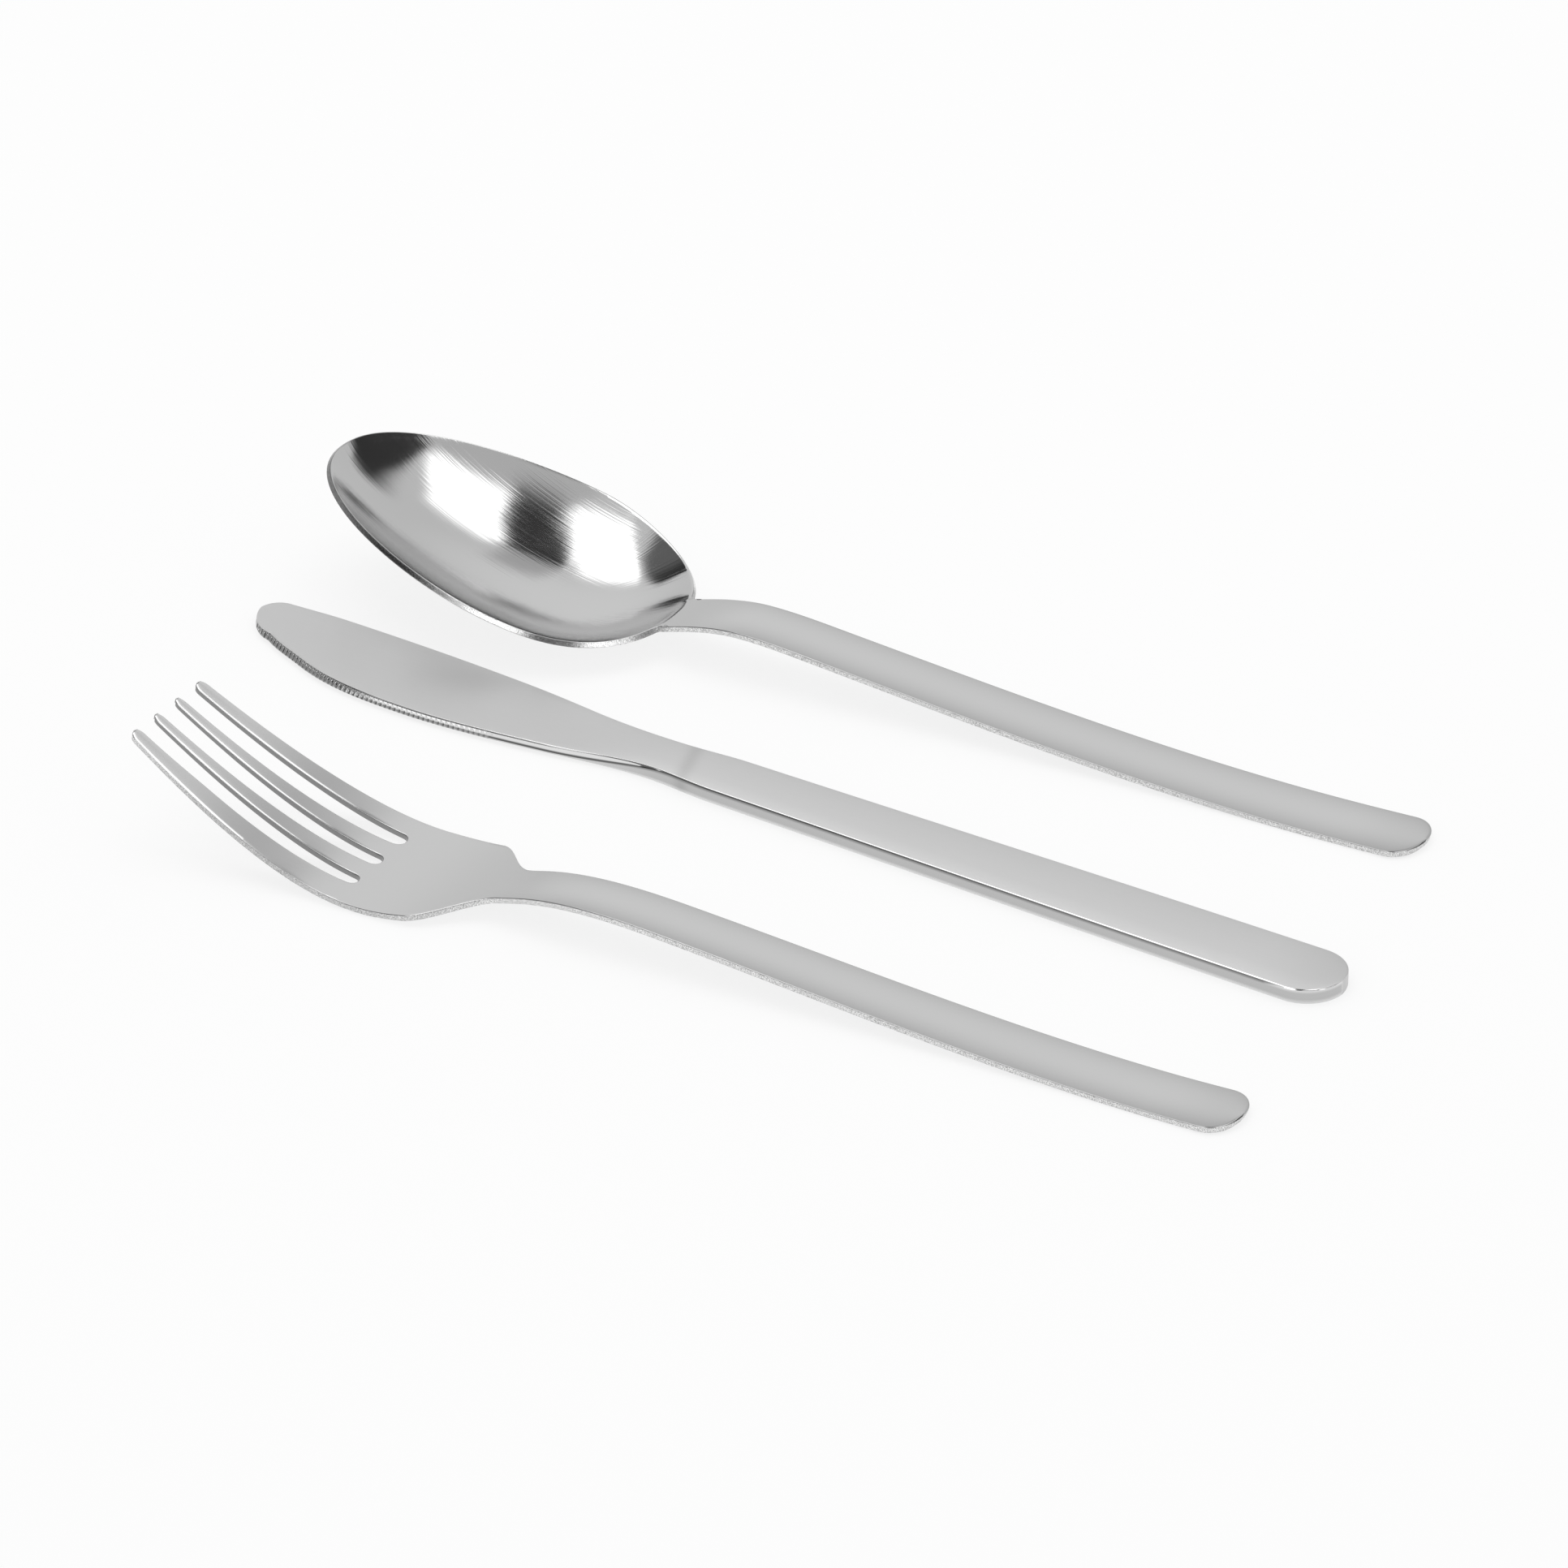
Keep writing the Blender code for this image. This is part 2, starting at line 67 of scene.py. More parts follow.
# Spoon
SPOON_LENGTH = 209.8 * MM
BOWL_TIP_TO_WIDEST = 39.4 * MM
BOWL_WIDEST_TO_NECK = 27.8 * MM
BOWL_WIDTH = 47.2 * MM
BOWL_DEPTH = 9.05 * MM
BOWL_TIP_TO_DEEPEST = 35.2 * MM
BOWL_TIP_HEIGHT = 21.6 * MM
BOWL_RIM_HEIGHT_AT_WIDEST = 11.2 * MM
BOWL_RIM_LOWEST_HEIGHT = 5.65 * MM
BOWL_NOTCH_FILLET = 1.6 * MM
SPOON_NECK_LENGTH = 15.0 * MM
SPOON_NECK_WIDTH = 11.7 * MM
SPOON_CREST_HEIGHT = 8.9 * MM
SPOON_HANDLE_END_WIDTH = 13.1 * MM
RIM_TIP_CURVE = (1.7, 0.46)
BOWL_TIP_CURVE = (2.2, 0.75)
BOWL_NECK_CURVE = (2.3, 1.3)
BOWL_CROSS_CURVE = 2.1

# Fork
FORK_LENGTH = 200.0 * MM
TINE_LENGTH = 41.5 * MM
TINE_TIP_WIDTH = 1.9 * MM
TINE_ROOT_WIDTH = 4.4 * MM
OUTER_TINE_EXTRA_WIDTH = 0.7 * MM
NEAR_TINE_INNER_EXTRA = 0.6 * MM
NEAR_TINE_WIDENS_BY = 15.0 * MM
TINE_TIP_ROUNDING = 1.3 * MM
TINE_TIP_SHARE = 0.35
SLOT_END_FULLNESS = 0.95
TINE_CROWN = 0.16 * MM
FORK_FAR_SHOULDER_LENGTH = 7.0 * MM
FORK_FAR_SHOULDER_SHIFT = 1.3 * MM
FORK_TIPS_WIDTH = 21.5 * MM
FORK_HEAD_WIDTH = 28.6 * MM
INNER_TINE_SPREAD_AT_TIP = 6.2 * MM
INNER_TINE_SPREAD_AT_ROOT = 7.4 * MM
FORK_TIP_HEIGHT = 19.1 * MM
FORK_HEEL_TO_TIP = 46.0 * MM
FORK_SHOULDER_TO_TIP = 62.5 * MM
FORK_SHOULDER_LENGTH = 8.5 * MM
FORK_NECK_WIDTH = 10.3 * MM
FORK_CREST_TO_TIP = 86.0 * MM
FORK_CREST_HEIGHT = 7.08 * MM
FORK_HANDLE_END_WIDTH = 12.6 * MM

# Knife
KNIFE_LENGTH = 220.8 * MM
KNIFE_HANDLE_THICKNESS = 2.6 * MM
BLADE_THICKNESS = 1.3 * MM
BLADE_TIP_THICKNESS = 1.0 * MM
CUTTING_EDGE_THICKNESS = 0.25 * MM
CUTTING_EDGE_CHAMFER = 0.08 * MM
BLADE_LENGTH = 94.0 * MM
BLADE_BACK_OFFSET = 9.3 * MM
BLADE_BELLY_OFFSET = 10.9 * MM
BLADE_BELLY_TO_TIP = 42.0 * MM
BLADE_START = 0.5 * MM
BLADE_TIP_OFFSET = 4.8 * MM
BLADE_BACK_ROUNDING = 4.3 * MM
BLADE_BACK_AT_TIP = 8.65 * MM
BLADE_EDGE_ROUNDING = 7.6 * MM
BLADE_BACK_STRAIGHT_TO_TIP = 16.0 * MM
BLADE_SWEEP_TO_TIP = 17.6 * MM
BELLY_TO_BACK_FALL = 14.0 * MM
BLADE_BACK_FALL = 1.3 * MM
HEEL_TO_WAIST = 21.0 * MM
HEEL_BELOW_WAIST = 3.2 * MM
GRIND_WIDTH = 0.85 * MM
GRIND_WIDTH_BEHIND = 0.65 * MM
GRIND_NARROWS_FROM = 24.0 * MM
GRIND_NARROW_AT = 52.0 * MM
GRIND_WIDENS_BY = 9.0 * MM
GRIND_ROUNDS_FROM = 22.0 * MM
GRIND_ROUND_AT = 36.0 * MM
GRIND_ROUNDING_AT_TIP = 0.12
GRIND_ROUNDING_BEHIND = 0.55
WAIST_TO_BLADE_END = 4.0 * MM
KNIFE_WAIST_WIDTH = 10.0 * MM
KNIFE_HANDLE_START_WIDTH = 11.5 * MM
WAIST_TO_HANDLE = 12.0 * MM
KNIFE_HANDLE_END_WIDTH = 14.0 * MM
KNIFE_END_ROUNDING = 7.0 * MM
KNIFE_EDGE_CHAMFER = 0.25 * MM
KNIFE_TOP_EDGE_WIDTH = 0.38 * MM
KNIFE_TOP_EDGE_DROP = 0.16 * MM
SHOULDER_RAMP = 24.0 * MM
TOOTH_PITCH = 1.0 * MM
TOOTH_DEPTH = 0.42 * MM
SERRATION_TO_TIP = 3.5 * MM
SERRATION_LENGTH = 56.0 * MM

# Turns of the pieces on the table
SPOON_TURN = radians(0.74)
KNIFE_TURN = radians(-3.9)
FORK_TURN = radians(0.43)

# Camera
CAMERA_AZIMUTH = radians(30.2)
CAMERA_ELEVATION = radians(29.5)
CAMERA_DISTANCE = 1357.7 * MM
CAMERA_TARGET = Vector((-3.67, 7.6, 0.0)) * MM
CAMERA_LENS = 186.57
SENSOR_WIDTH = 36.0
FARTHEST_SEEN = 20.0


# Shape helpers

def along(knots, place):
    """Value at a place on a smooth line through (place, value, slope) knots."""
    if place <= knots[0][0]:
        return knots[0][1]
    for (x0, y0, m0), (x1, y1, m1) in zip(knots, knots[1:]):
        if place <= x1:
            run = x1 - x0
            s = (place - x0) / run
            rise = y1 - y0
            return (y0 + rise * s * s * (3 - 2 * s)
                    + run * s * (1 - s) * (m0 * (1 - s) - m1 * s))
    return knots[-1][1]


def ease(s):
    """Smooth step from 0 to 1."""
    s = min(max(s, 0.0), 1.0)
    return s * s * (3 - 2 * s)


def evenly(start, stop, count):
    """Count places from start up to, but without, stop."""
    return [start + (stop - start) * k / count for k in range(count)]


def stations(stops, counts):
    """Places from stop to stop, as many in each stretch as its count, and the last stop."""
    stretches = zip(stops, stops[1:], counts)
    return [place for stretch in stretches for place in evenly(*stretch)] + [stops[-1]]


def round_end(length, rounding, steps):
    """Places that crowd towards a rounded end."""
    turn = pi / 2
    return [length - rounding + rounding * sin(turn * k / (steps + 0.35))
            for k in range(steps + 1)]


def rounded(place, length, rounding):
    """Share of the full width that is left within a rounded end."""
    s = max(place - (length - rounding), 0.0) / rounding
    return sqrt(max(1 - s * s, 0.0))


def rings(centre, border, shares):
    """Copies of a border line that shrink towards a centre, one for each share."""
    cx, cy = centre
    return [[(cx + (x - cx) * share, cy + (y - cy) * share) for x, y in border]
            for share in shares]


def handle_crown(x, y, half, start, stop):
    """How far the handle falls away towards its long edges at a place of its plan."""
    s = min(abs(y) / max(half, WELD_DISTANCE), 1.0)
    return HANDLE_CROWN * s * s * ease((x - start) / (stop - start))


def handle_tone(x, y, half, start, length):
    """Share of the steel's brightness on a handle, with painted shade: darker along its long edges
    and towards its end.
    """
    t = y / max(half, WELD_DISTANCE)
    shade_share = (PAINTED_SHADE_AT_FAR_EDGE if t > 0 else PAINTED_SHADE_AT_NEAR_EDGE) * t * t
    shade_share += PAINTED_SHADE_AT_END * ease((x - (length - PAINTED_SHADE_END_LENGTH)) / PAINTED_SHADE_END_LENGTH)
    return 1 - shade_share * ease((x - start) / PAINTED_SHADE_BEGINS_OVER)


def cut_blank(name, patches, height, tone, cut_tones):
    """Flat blank from patches of plan points; each point keeps the height it is pressed to
    and the painted light and shade of the steel on its face and on its cut."""
    blank = bmesh.new()
    lift = blank.verts.layers.float.new("lift")
    shade = blank.verts.layers.float.new("tone")
    cut_shade = blank.verts.layers.float.new("cut_tone")
    for rows in patches:
        made = []
        for row in rows:
            made.append([])
            for x, y in row:
                vert = blank.verts.new((x, y, 0))
                vert[lift] = height(x, y)
                vert[shade] = tone(x, y)
                vert[cut_shade] = along(cut_tones, x)
                made[-1].append(vert)
        for one, two in zip(made, made[1:]):
            for k in range(len(one) - 1):
                blank.faces.new((one[k], two[k], two[k + 1], one[k + 1]))
    bmesh.ops.remove_doubles(blank, verts=blank.verts, dist=WELD_DISTANCE)
    bmesh.ops.recalc_face_normals(blank, faces=blank.faces)
    blank.faces.ensure_lookup_table()
    if blank.faces[0].normal.z < 0:
        bmesh.ops.reverse_faces(blank, faces=blank.faces)
    return to_object(blank, name)


def add_object(name, data):
    made = bpy.data.objects.new(name, data)
    bpy.context.scene.collection.objects.link(made)
    return made


def to_object(grid, name):
    mesh = bpy.data.meshes.new(name)
    grid.to_mesh(mesh)
    grid.free()
    return add_object(name, mesh)


def freeze(piece):
    """Turn a piece with its modifiers into a plain mesh."""
    bpy.context.view_layer.update()
    graph = bpy.context.evaluated_depsgraph_get()
    mesh = bpy.data.meshes.new_from_object(piece.evaluated_get(graph))
    piece.modifiers.clear()
    old = piece.data
    piece.data = mesh
    bpy.data.meshes.remove(old)
    mesh.name = piece.name


def put_in_place(piece, turn, node):
    """Turn the mesh on the table and bring its handle's end to the end of the CAD node."""
    piece.data.transform(Matrix.Rotation(turn, 4, 'Z'))
    points = [vert.co for vert in piece.data.vertices]
    low = Vector([min(p[k] for p in points) for k in range(3)])
    high = Vector([max(p[k] for p in points) for k in range(3)])
    node_low, node_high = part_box(node)
    shift = node_high - high
    shift.y = (node_low.y + node_high.y - low.y - high.y) / 2
    shift.z = node_low.z - low.z
    piece.data.transform(Matrix.Translation(shift))
    return shift


class Wiring:
    """Adds nodes to one node tree and joins them."""

    def __init__(self, tree):
        self.tree = tree

    def node(self, kind, inputs=None, **settings):
        """Add a node, set it up and feed the inputs that are given."""
        made = self.tree.nodes.new(kind)
        for name, value in settings.items():
            setattr(made, name, value)
        for name, value in (inputs or {}).items():
            self.feed(made.inputs[name], value)
        return made

    def feed(self, socket, value):
        if isinstance(value, bpy.types.NodeSocket):
            self.tree.links.new(value, socket)
        else:
            socket.default_value = value

    def maths(self, operation, *values):
        return self.node('ShaderNodeMath', dict(enumerate(values)),
                         operation=operation).outputs[0]

    def times(self, first, second):
        return self.maths('MULTIPLY', first, second)

    def plus(self, first, second):
        return self.maths('ADD', first, second)

    def minus(self, first, second):
        return self.maths('SUBTRACT', first, second)

    def ranged(self, value, low, high, to_low, to_high, kind='LINEAR'):
        return self.node('ShaderNodeMapRange', {
            "Value": value, "From Min": low, "From Max": high,
            "To Min": to_low, "To Max": to_high}, interpolation_type=kind).outputs["Result"]

    def vector(self, x, y, z):
        return self.node('ShaderNodeCombineXYZ', {0: x, 1: y, 2: z}).outputs[0]

    def parts(self, vector):
        """The x, y and z of a vector."""
        return self.node('ShaderNodeSeparateXYZ', {0: vector}).outputs

    def attribute(self, name):
        """A value of the mesh's points, read by a tree for meshes."""
        made = self.node('GeometryNodeInputNamedAttribute', {"Name": name}, data_type='FLOAT')
        return made.outputs["Attribute"]

    def painted(self, name):
        """A value of the mesh's points, read by a material."""
        return self.node('ShaderNodeAttribute', attribute_name=name).outputs["Fac"]


def open_tree(name, numbers, steels):
    """Node tree for a mesh; returns its wiring, its named inputs and where its mesh ends."""
    tree = bpy.data.node_groups.new(name, 'GeometryNodeTree')
    sockets = tree.interface
    sockets.new_socket("Mesh", in_out='INPUT', socket_type='NodeSocketGeometry')
    for titles, kind in ((numbers, 'NodeSocketFloat'), (steels, 'NodeSocketMaterial')):
        for title in titles:
            sockets.new_socket(title, in_out='INPUT', socket_type=kind)
    sockets.new_socket("Mesh", in_out='OUTPUT', socket_type='NodeSocketGeometry')
    wires = Wiring(tree)
    return wires, wires.node('NodeGroupInput').outputs, wires.node('NodeGroupOutput').inputs[0]


def run_tree(piece, tree, values):
    """Put a node tree on a piece and set its inputs by their identifiers."""
    modifier = piece.modifiers.new(tree.name, 'NODES')
    modifier.node_group = tree
    for item in tree.interface.items_tree:
        if item.in_out == 'INPUT' and item.name in values:
            modifier[item.identifier] = values[item.name]


def coated(wires, mesh, steel, where=True):
    """Give a mesh, or only the faces that are chosen, its steel."""
    return wires.node('GeometryNodeSetMaterial', {
        "Geometry": mesh, "Selection": where, "Material": steel}).outputs[0]


def pressing_tree():
    """Node tree that presses a flat blank to its heights and gives the sheet its wall."""
    wires, given, result = open_tree("pressing", ("Press", "Thickness"),
                                     ("Steel", "Cut Steel", "Under Steel"))
    rise = wires.times(wires.attribute("lift"), given["Press"])
    pressed = wires.node('GeometryNodeSetPosition', {
        "Geometry": given["Mesh"], "Offset": wires.vector(0.0, 0.0, rise)}).outputs[0]
    wall = wires.node('GeometryNodeExtrudeMesh', {
        "Mesh": pressed, "Offset Scale": wires.times(given["Thickness"], -1.0),
        "Individual": False}, mode='FACES').outputs
    turned = wires.node('GeometryNodeFlipFaces', {"Mesh": wall["Mesh"]})
    both = wires.node('GeometryNodeJoinGeometry', {0: turned.outputs[0]})
    wires.feed(both.inputs[0], pressed)
    welded = wires.node('GeometryNodeMergeByDistance', {
        "Geometry": both.outputs[0], "Distance": WELD_DISTANCE})
    real = wires.node('GeometryNodeRealizeInstances', {0: welded.outputs[0]})
    faces = coated(wires, real.outputs[0], given["Steel"])
    cut = coated(wires, faces, given["Cut Steel"], wall["Side"])
    wires.feed(result, coated(wires, cut, given["Under Steel"], wall["Top"]))
    return wires.tree


def press_sheet(blank, steel, cut, under):
    """Press a blank, give it its wall and soften the edges of the cut."""
    run_tree(blank, pressing, {"Press": 1.0, "Thickness": SHEET_THICKNESS,
                               "Steel": steel, "Cut Steel": cut, "Under Steel": under})
    soften = blank.modifiers.new("soft_edges", 'BEVEL')
    soften.width = SHEET_EDGE_ROUNDING
    soften.segments = ROUNDED_EDGE_STEPS
    soften.limit_method = 'ANGLE'
    soften.angle_limit = ROUNDED_OVER_ANGLE
    soften.miter_outer = 'MITER_ARC'
    soften.use_clamp_overlap = False
    flat_faces = blank.modifiers.new("flat_faces", 'WEIGHTED_NORMAL')
    flat_faces.mode = 'FACE_AREA'
    blank.data.shade_smooth()
    freeze(blank)


# Spoon

SPOON_HANDLE_START = BOWL_TIP_TO_WIDEST + BOWL_WIDEST_TO_NECK
SPOON_CREST = SPOON_HANDLE_START + SPOON_NECK_LENGTH
SPOON_RUN = SPOON_LENGTH - SPOON_CREST
SPOON_FALL = SPOON_CREST_HEIGHT - SHEET_THICKNESS
SPOON_REST = SPOON_LENGTH - 20.0 * MM
SPOON_COLUMNS = 18
BOWL_RINGS = 44
RIM_STEP = 3
RIM_BACK_STOP = 136
NOTCH_STATIONS = 16
SPOON_STATIONS = (44, 70)

SPOON_HEIGHTS = [
    (0.0, BOWL_TIP_HEIGHT, -0.27),
    (BOWL_TIP_TO_WIDEST, BOWL_RIM_HEIGHT_AT_WIDEST, -0.25),
    (SPOON_HANDLE_START - 3.0 * MM, BOWL_RIM_LOWEST_HEIGHT, 0.03),
    (SPOON_HANDLE_START + 0.3 * SPOON_NECK_LENGTH,
     BOWL_RIM_LOWEST_HEIGHT + 0.5 * (SPOON_CREST_HEIGHT - BOWL_RIM_LOWEST_HEIGHT), 0.26),
    (SPOON_CREST, SPOON_CREST_HEIGHT, 0.0),
    (SPOON_CREST + CREST_SHARE * SPOON_RUN, SPOON_CREST_HEIGHT - 0.16 * SPOON_FALL,
     -1.69 * SPOON_FALL / SPOON_RUN),
    (SPOON_REST, SHEET_THICKNESS, 0.0),
    (SPOON_LENGTH, SHEET_THICKNESS + HANDLE_END_KICK, 0.03),
]
# Painted light and shade along the spoon's cut edge: bright and dark bands in its colour stand in
# for the reflections it catches
SPOON_CUT_PAINTED_LIGHT = [(place * MM, tone, 0.0) for place, tone in (
    (0, 0.42), (26, 0.36), (38, 1.4), (48, 1.4), (52, 0.4), (56.5, 0.4), (60, 1.35),
    (63.5, 1.3), (65.5, 0.55), (69, 1.05))]


def bowl_share(x):
    """Share of the bowl's full width at x, 0 outside it."""
    if x <= BOWL_TIP_TO_WIDEST:
        swell, blunt = RIM_TIP_CURVE
        s = min((BOWL_TIP_TO_WIDEST - x) / BOWL_TIP_TO_WIDEST, 1.0)
        return (1 - s ** swell) ** blunt
    s = min((x - BOWL_TIP_TO_WIDEST) / BOWL_WIDEST_TO_NECK, 1.0)
    return sqrt(1 - s * s)


def bowl_depth(x):
    """Depth of the bowl's middle line below its rim at x."""
    if x <= BOWL_TIP_TO_DEEPEST:
        flat, steep = BOWL_TIP_CURVE
        s = min((BOWL_TIP_TO_DEEPEST - x) / BOWL_TIP_TO_DEEPEST, 1.0)
        return BOWL_DEPTH * (1 - s ** flat) ** steep
    flat, steep = BOWL_NECK_CURVE
    run = SPOON_HANDLE_START - BOWL_TIP_TO_DEEPEST
    s = min((x - BOWL_TIP_TO_DEEPEST) / run, 1.0)
    return BOWL_DEPTH * (1 - s ** flat) ** steep


def spoon_half_width(x):
    bowl = BOWL_WIDTH / 2 * bowl_share(x)
    if x < BOWL_TIP_TO_WIDEST:
        return bowl
    handle = along([(SPOON_HANDLE_START, SPOON_NECK_WIDTH / 2, 0.0),
                    (SPOON_LENGTH, SPOON_HANDLE_END_WIDTH / 2, 0.003)], x)
    gap = abs(bowl - handle)
    blend = max(BOWL_NOTCH_FILLET - gap, 0.0) ** 2 / (4 * BOWL_NOTCH_FILLET)
    return (max(bowl, handle) + blend) * rounded(x, SPOON_LENGTH, HANDLE_END_ROUNDING)


def spoon_height(x, y):
    """Height of the spoon's upper face at a place of its plan."""
    half = spoon_half_width(x)
    t = min(abs(y) / half, 1.0) if half > WELD_DISTANCE else 1.0
    crown = handle_crown(x, y, half, SPOON_HANDLE_START, SPOON_CREST)
    return along(SPOON_HEIGHTS, x) - bowl_depth(x) * (1 - t ** BOWL_CROSS_CURVE) - crown


# Painted shade on the spoon's handle; the bowl keeps the steel's own colour
def spoon_tone(x, y):
    return handle_tone(x, y, spoon_half_width(x), SPOON_HANDLE_START, SPOON_LENGTH)


def end_of_handle(half_width, length, columns):
    """Patch of the rounded end, with rings that meet the columns of the handle."""
    middle = length - HANDLE_END_ROUNDING
    places = [middle + HANDLE_END_ROUNDING * sin(radians(a))
              for a in range(0, 90, HANDLE_END_STEP)]
    near = [(x, -half_width(x)) for x in places]
    far = [(x, half_width(x)) for x in reversed(places)]
    shares = [2 * k / columns - 1 for k in range(columns, columns // 2 - 1, -1)]
    return rings((middle, 0.0), near + [(length, 0.0)] + far, shares)


def handle_rows(half_width, places, columns):
    return [[(x, half_width(x) * (2 * k / columns - 1)) for k in range(columns + 1)]
            for x in places]


def cut_spoon_blank():
    """Blank of the spoon: rings in the bowl, rows along the handle, a fan in its end."""
    front = [BOWL_TIP_TO_WIDEST * (1 - cos(radians(a / 2)))
             for a in range(RIM_STEP, 180, RIM_STEP)]
    back = [BOWL_TIP_TO_WIDEST + BOWL_WIDEST_TO_NECK * sin(radians(a / 2))
            for a in range(0, RIM_BACK_STOP, RIM_STEP)]
    bowl_end = SPOON_HANDLE_START + BOWL_NOTCH_FILLET
    places = front + back + evenly(back[-1], bowl_end, NOTCH_STATIONS)[1:] + [bowl_end]
    near = [(x, -spoon_half_width(x)) for x in places]
    far = [(x, spoon_half_width(x)) for x in reversed(places)]
    neck = handle_rows(spoon_half_width, [bowl_end], SPOON_COLUMNS)[0][1:-1]
    border = [(0.0, 0.0)] + near + neck + far + [(0.0, 0.0)]
    shares = [1 - k / BOWL_RINGS for k in range(BOWL_RINGS + 1)]
    bowl = rings((BOWL_TIP_TO_WIDEST, 0.0), border, shares)
    stops = (bowl_end, SPOON_CREST + CREST_SHARE * SPOON_RUN, SPOON_LENGTH - HANDLE_END_ROUNDING)
    handle = handle_rows(spoon_half_width, stations(stops, SPOON_STATIONS), SPOON_COLUMNS)
    end = end_of_handle(spoon_half_width, SPOON_LENGTH, SPOON_COLUMNS)
    return cut_blank("satin_spoon", [bowl, handle, end], spoon_height, spoon_tone,
                     SPOON_CUT_PAINTED_LIGHT)


# Fork

FORK_RUN = FORK_LENGTH - FORK_CREST_TO_TIP
FORK_FALL = FORK_CREST_HEIGHT - SHEET_THICKNESS
FORK_SHOULDER_START = FORK_SHOULDER_TO_TIP - FORK_SHOULDER_LENGTH
FORK_SHOULDER_STOP = FORK_SHOULDER_TO_TIP + 0.5 * FORK_SHOULDER_LENGTH
HEAD_TAPER = 0.12
FORK_REST = FORK_LENGTH - 16.0 * MM
TINE_CURVE = FORK_TIP_HEIGHT - SHEET_THICKNESS
HEEL_TO_CREST = FORK_CREST_TO_TIP - FORK_HEEL_TO_TIP
TINES = 4
SLOTS = TINES - 1
CELLS_IN_TINE = 6
CELLS_IN_SLOT = 2
FORK_CELLS = TINES * CELLS_IN_TINE + SLOTS * CELLS_IN_SLOT
TINE_TIP_PLACES = (0.0, 0.09, 0.2, 0.36, 0.56, 0.78)
TINE_STATIONS = 60
SLOT_END_STEP = 12
FORK_STATIONS = (16, 34, 30, 60)

FORK_HEIGHTS = [
    (0.0, FORK_TIP_HEIGHT, -1.57 * TINE_CURVE / FORK_HEEL_TO_TIP),
    (0.478 * FORK_HEEL_TO_TIP, SHEET_THICKNESS + 0.338 * TINE_CURVE,
     -1.12 * TINE_CURVE / FORK_HEEL_TO_TIP),
    (FORK_HEEL_TO_TIP, SHEET_THICKNESS, 0.0),
    (FORK_HEEL_TO_TIP + 0.6 * HEEL_TO_CREST, SHEET_THICKNESS + 0.69 * FORK_FALL,
     1.8 * FORK_FALL / HEEL_TO_CREST),
    (FORK_CREST_TO_TIP, FORK_CREST_HEIGHT, 0.0),
    (FORK_CREST_TO_TIP + CREST_SHARE * FORK_RUN, FORK_CREST_HEIGHT - 0.125 * FORK_FALL,
     -1.45 * FORK_FALL / FORK_RUN),
    (FORK_REST, SHEET_THICKNESS, 0.0),
    (FORK_LENGTH, SHEET_THICKNESS + HANDLE_END_KICK, 0.03),
]
# Painted light and shade along the fork's cut edges: lighter and darker bands by place along the
# fork
FORK_CUT_PAINTED_LIGHT = [(place * MM, tone, 0.0) for place, tone in (
    (0, 1.0), (22, 0.85), (46, 0.9), (70, 1.1))]
# Painted light on the tines: brighter towards their tips and darker a little before their roots,
# standing in for the reflections on them
TINE_PAINTED_LIGHT = [
    (0.0, 1.22, 0.0),
    (9.0 * MM, 1.15, -15.0),
    (25.0 * MM, 0.8, 0.0),
    (40.0 * MM, 1.0, 0.0),
]


def fork_half_width(x, share=None):
    head = along([(0.0, FORK_TIPS_WIDTH / 2, 0.11),
                  (FORK_HEEL_TO_TIP, FORK_HEAD_WIDTH / 2, 0.0)], x)
    handle = along([(FORK_SHOULDER_TO_TIP, FORK_NECK_WIDTH / 2, 0.003),
                    (FORK_LENGTH, FORK_HANDLE_END_WIDTH / 2, 0.008)], x)
    if share is None:
        share = ease((x - FORK_SHOULDER_START) / (FORK_SHOULDER_STOP - FORK_SHOULDER_START))
    taper = ease((x - FORK_HEEL_TO_TIP) / (FORK_SHOULDER_STOP - FORK_HEEL_TO_TIP))
    width = head * (1 - HEAD_TAPER * taper) * (1 - share) + handle * share
    return width * rounded(x, FORK_LENGTH, HANDLE_END_ROUNDING)


def tine_edges(x):
    """Both edges of the four tines, from the near one to the far one."""
    half = fork_half_width(x)
    s = min(x / TINE_LENGTH, 1.0)
    tine = (TINE_TIP_WIDTH + (TINE_ROOT_WIDTH - TINE_TIP_WIDTH) * s) / 2
    inner = (INNER_TINE_SPREAD_AT_TIP
             + (INNER_TINE_SPREAD_AT_ROOT - INNER_TINE_SPREAD_AT_TIP) * s) / 2
    extra = OUTER_TINE_EXTRA_WIDTH / 2
    outer = half - tine - extra
    tip = 1.0
    if x < TINE_TIP_ROUNDING:
        tip = TINE_TIP_SHARE + (1 - TINE_TIP_SHARE) * sqrt(
            1 - (1 - x / TINE_TIP_ROUNDING) ** 2)
    edges = []
    for middle, more in ((-outer, extra), (-inner, 0.0), (inner, 0.0), (outer, extra)):
        edges.append([middle - (tine + more) * tip, middle + (tine + more) * tip])
    edges[0][1] += NEAR_TINE_INNER_EXTRA * ease(x / NEAR_TINE_WIDENS_BY)
    for near, far in zip(edges, edges[1:]):
        centre = (near[1] + far[0]) / 2
        reach = (far[0] - near[1]) / 2
        s = max(x - (TINE_LENGTH - reach), 0.0) / reach * SLOT_END_FULLNESS
        reach = reach * sqrt(max(1 - s * s, 0.0))
        near[1], far[0] = centre - reach, centre + reach
    return edges


def tine_columns(x):
    """For each tine, the distances of its long lines from the fork's middle."""
    return [[low + (high - low) * i / CELLS_IN_TINE for i in range(CELLS_IN_TINE + 1)]
            for low, high in tine_edges(x)]


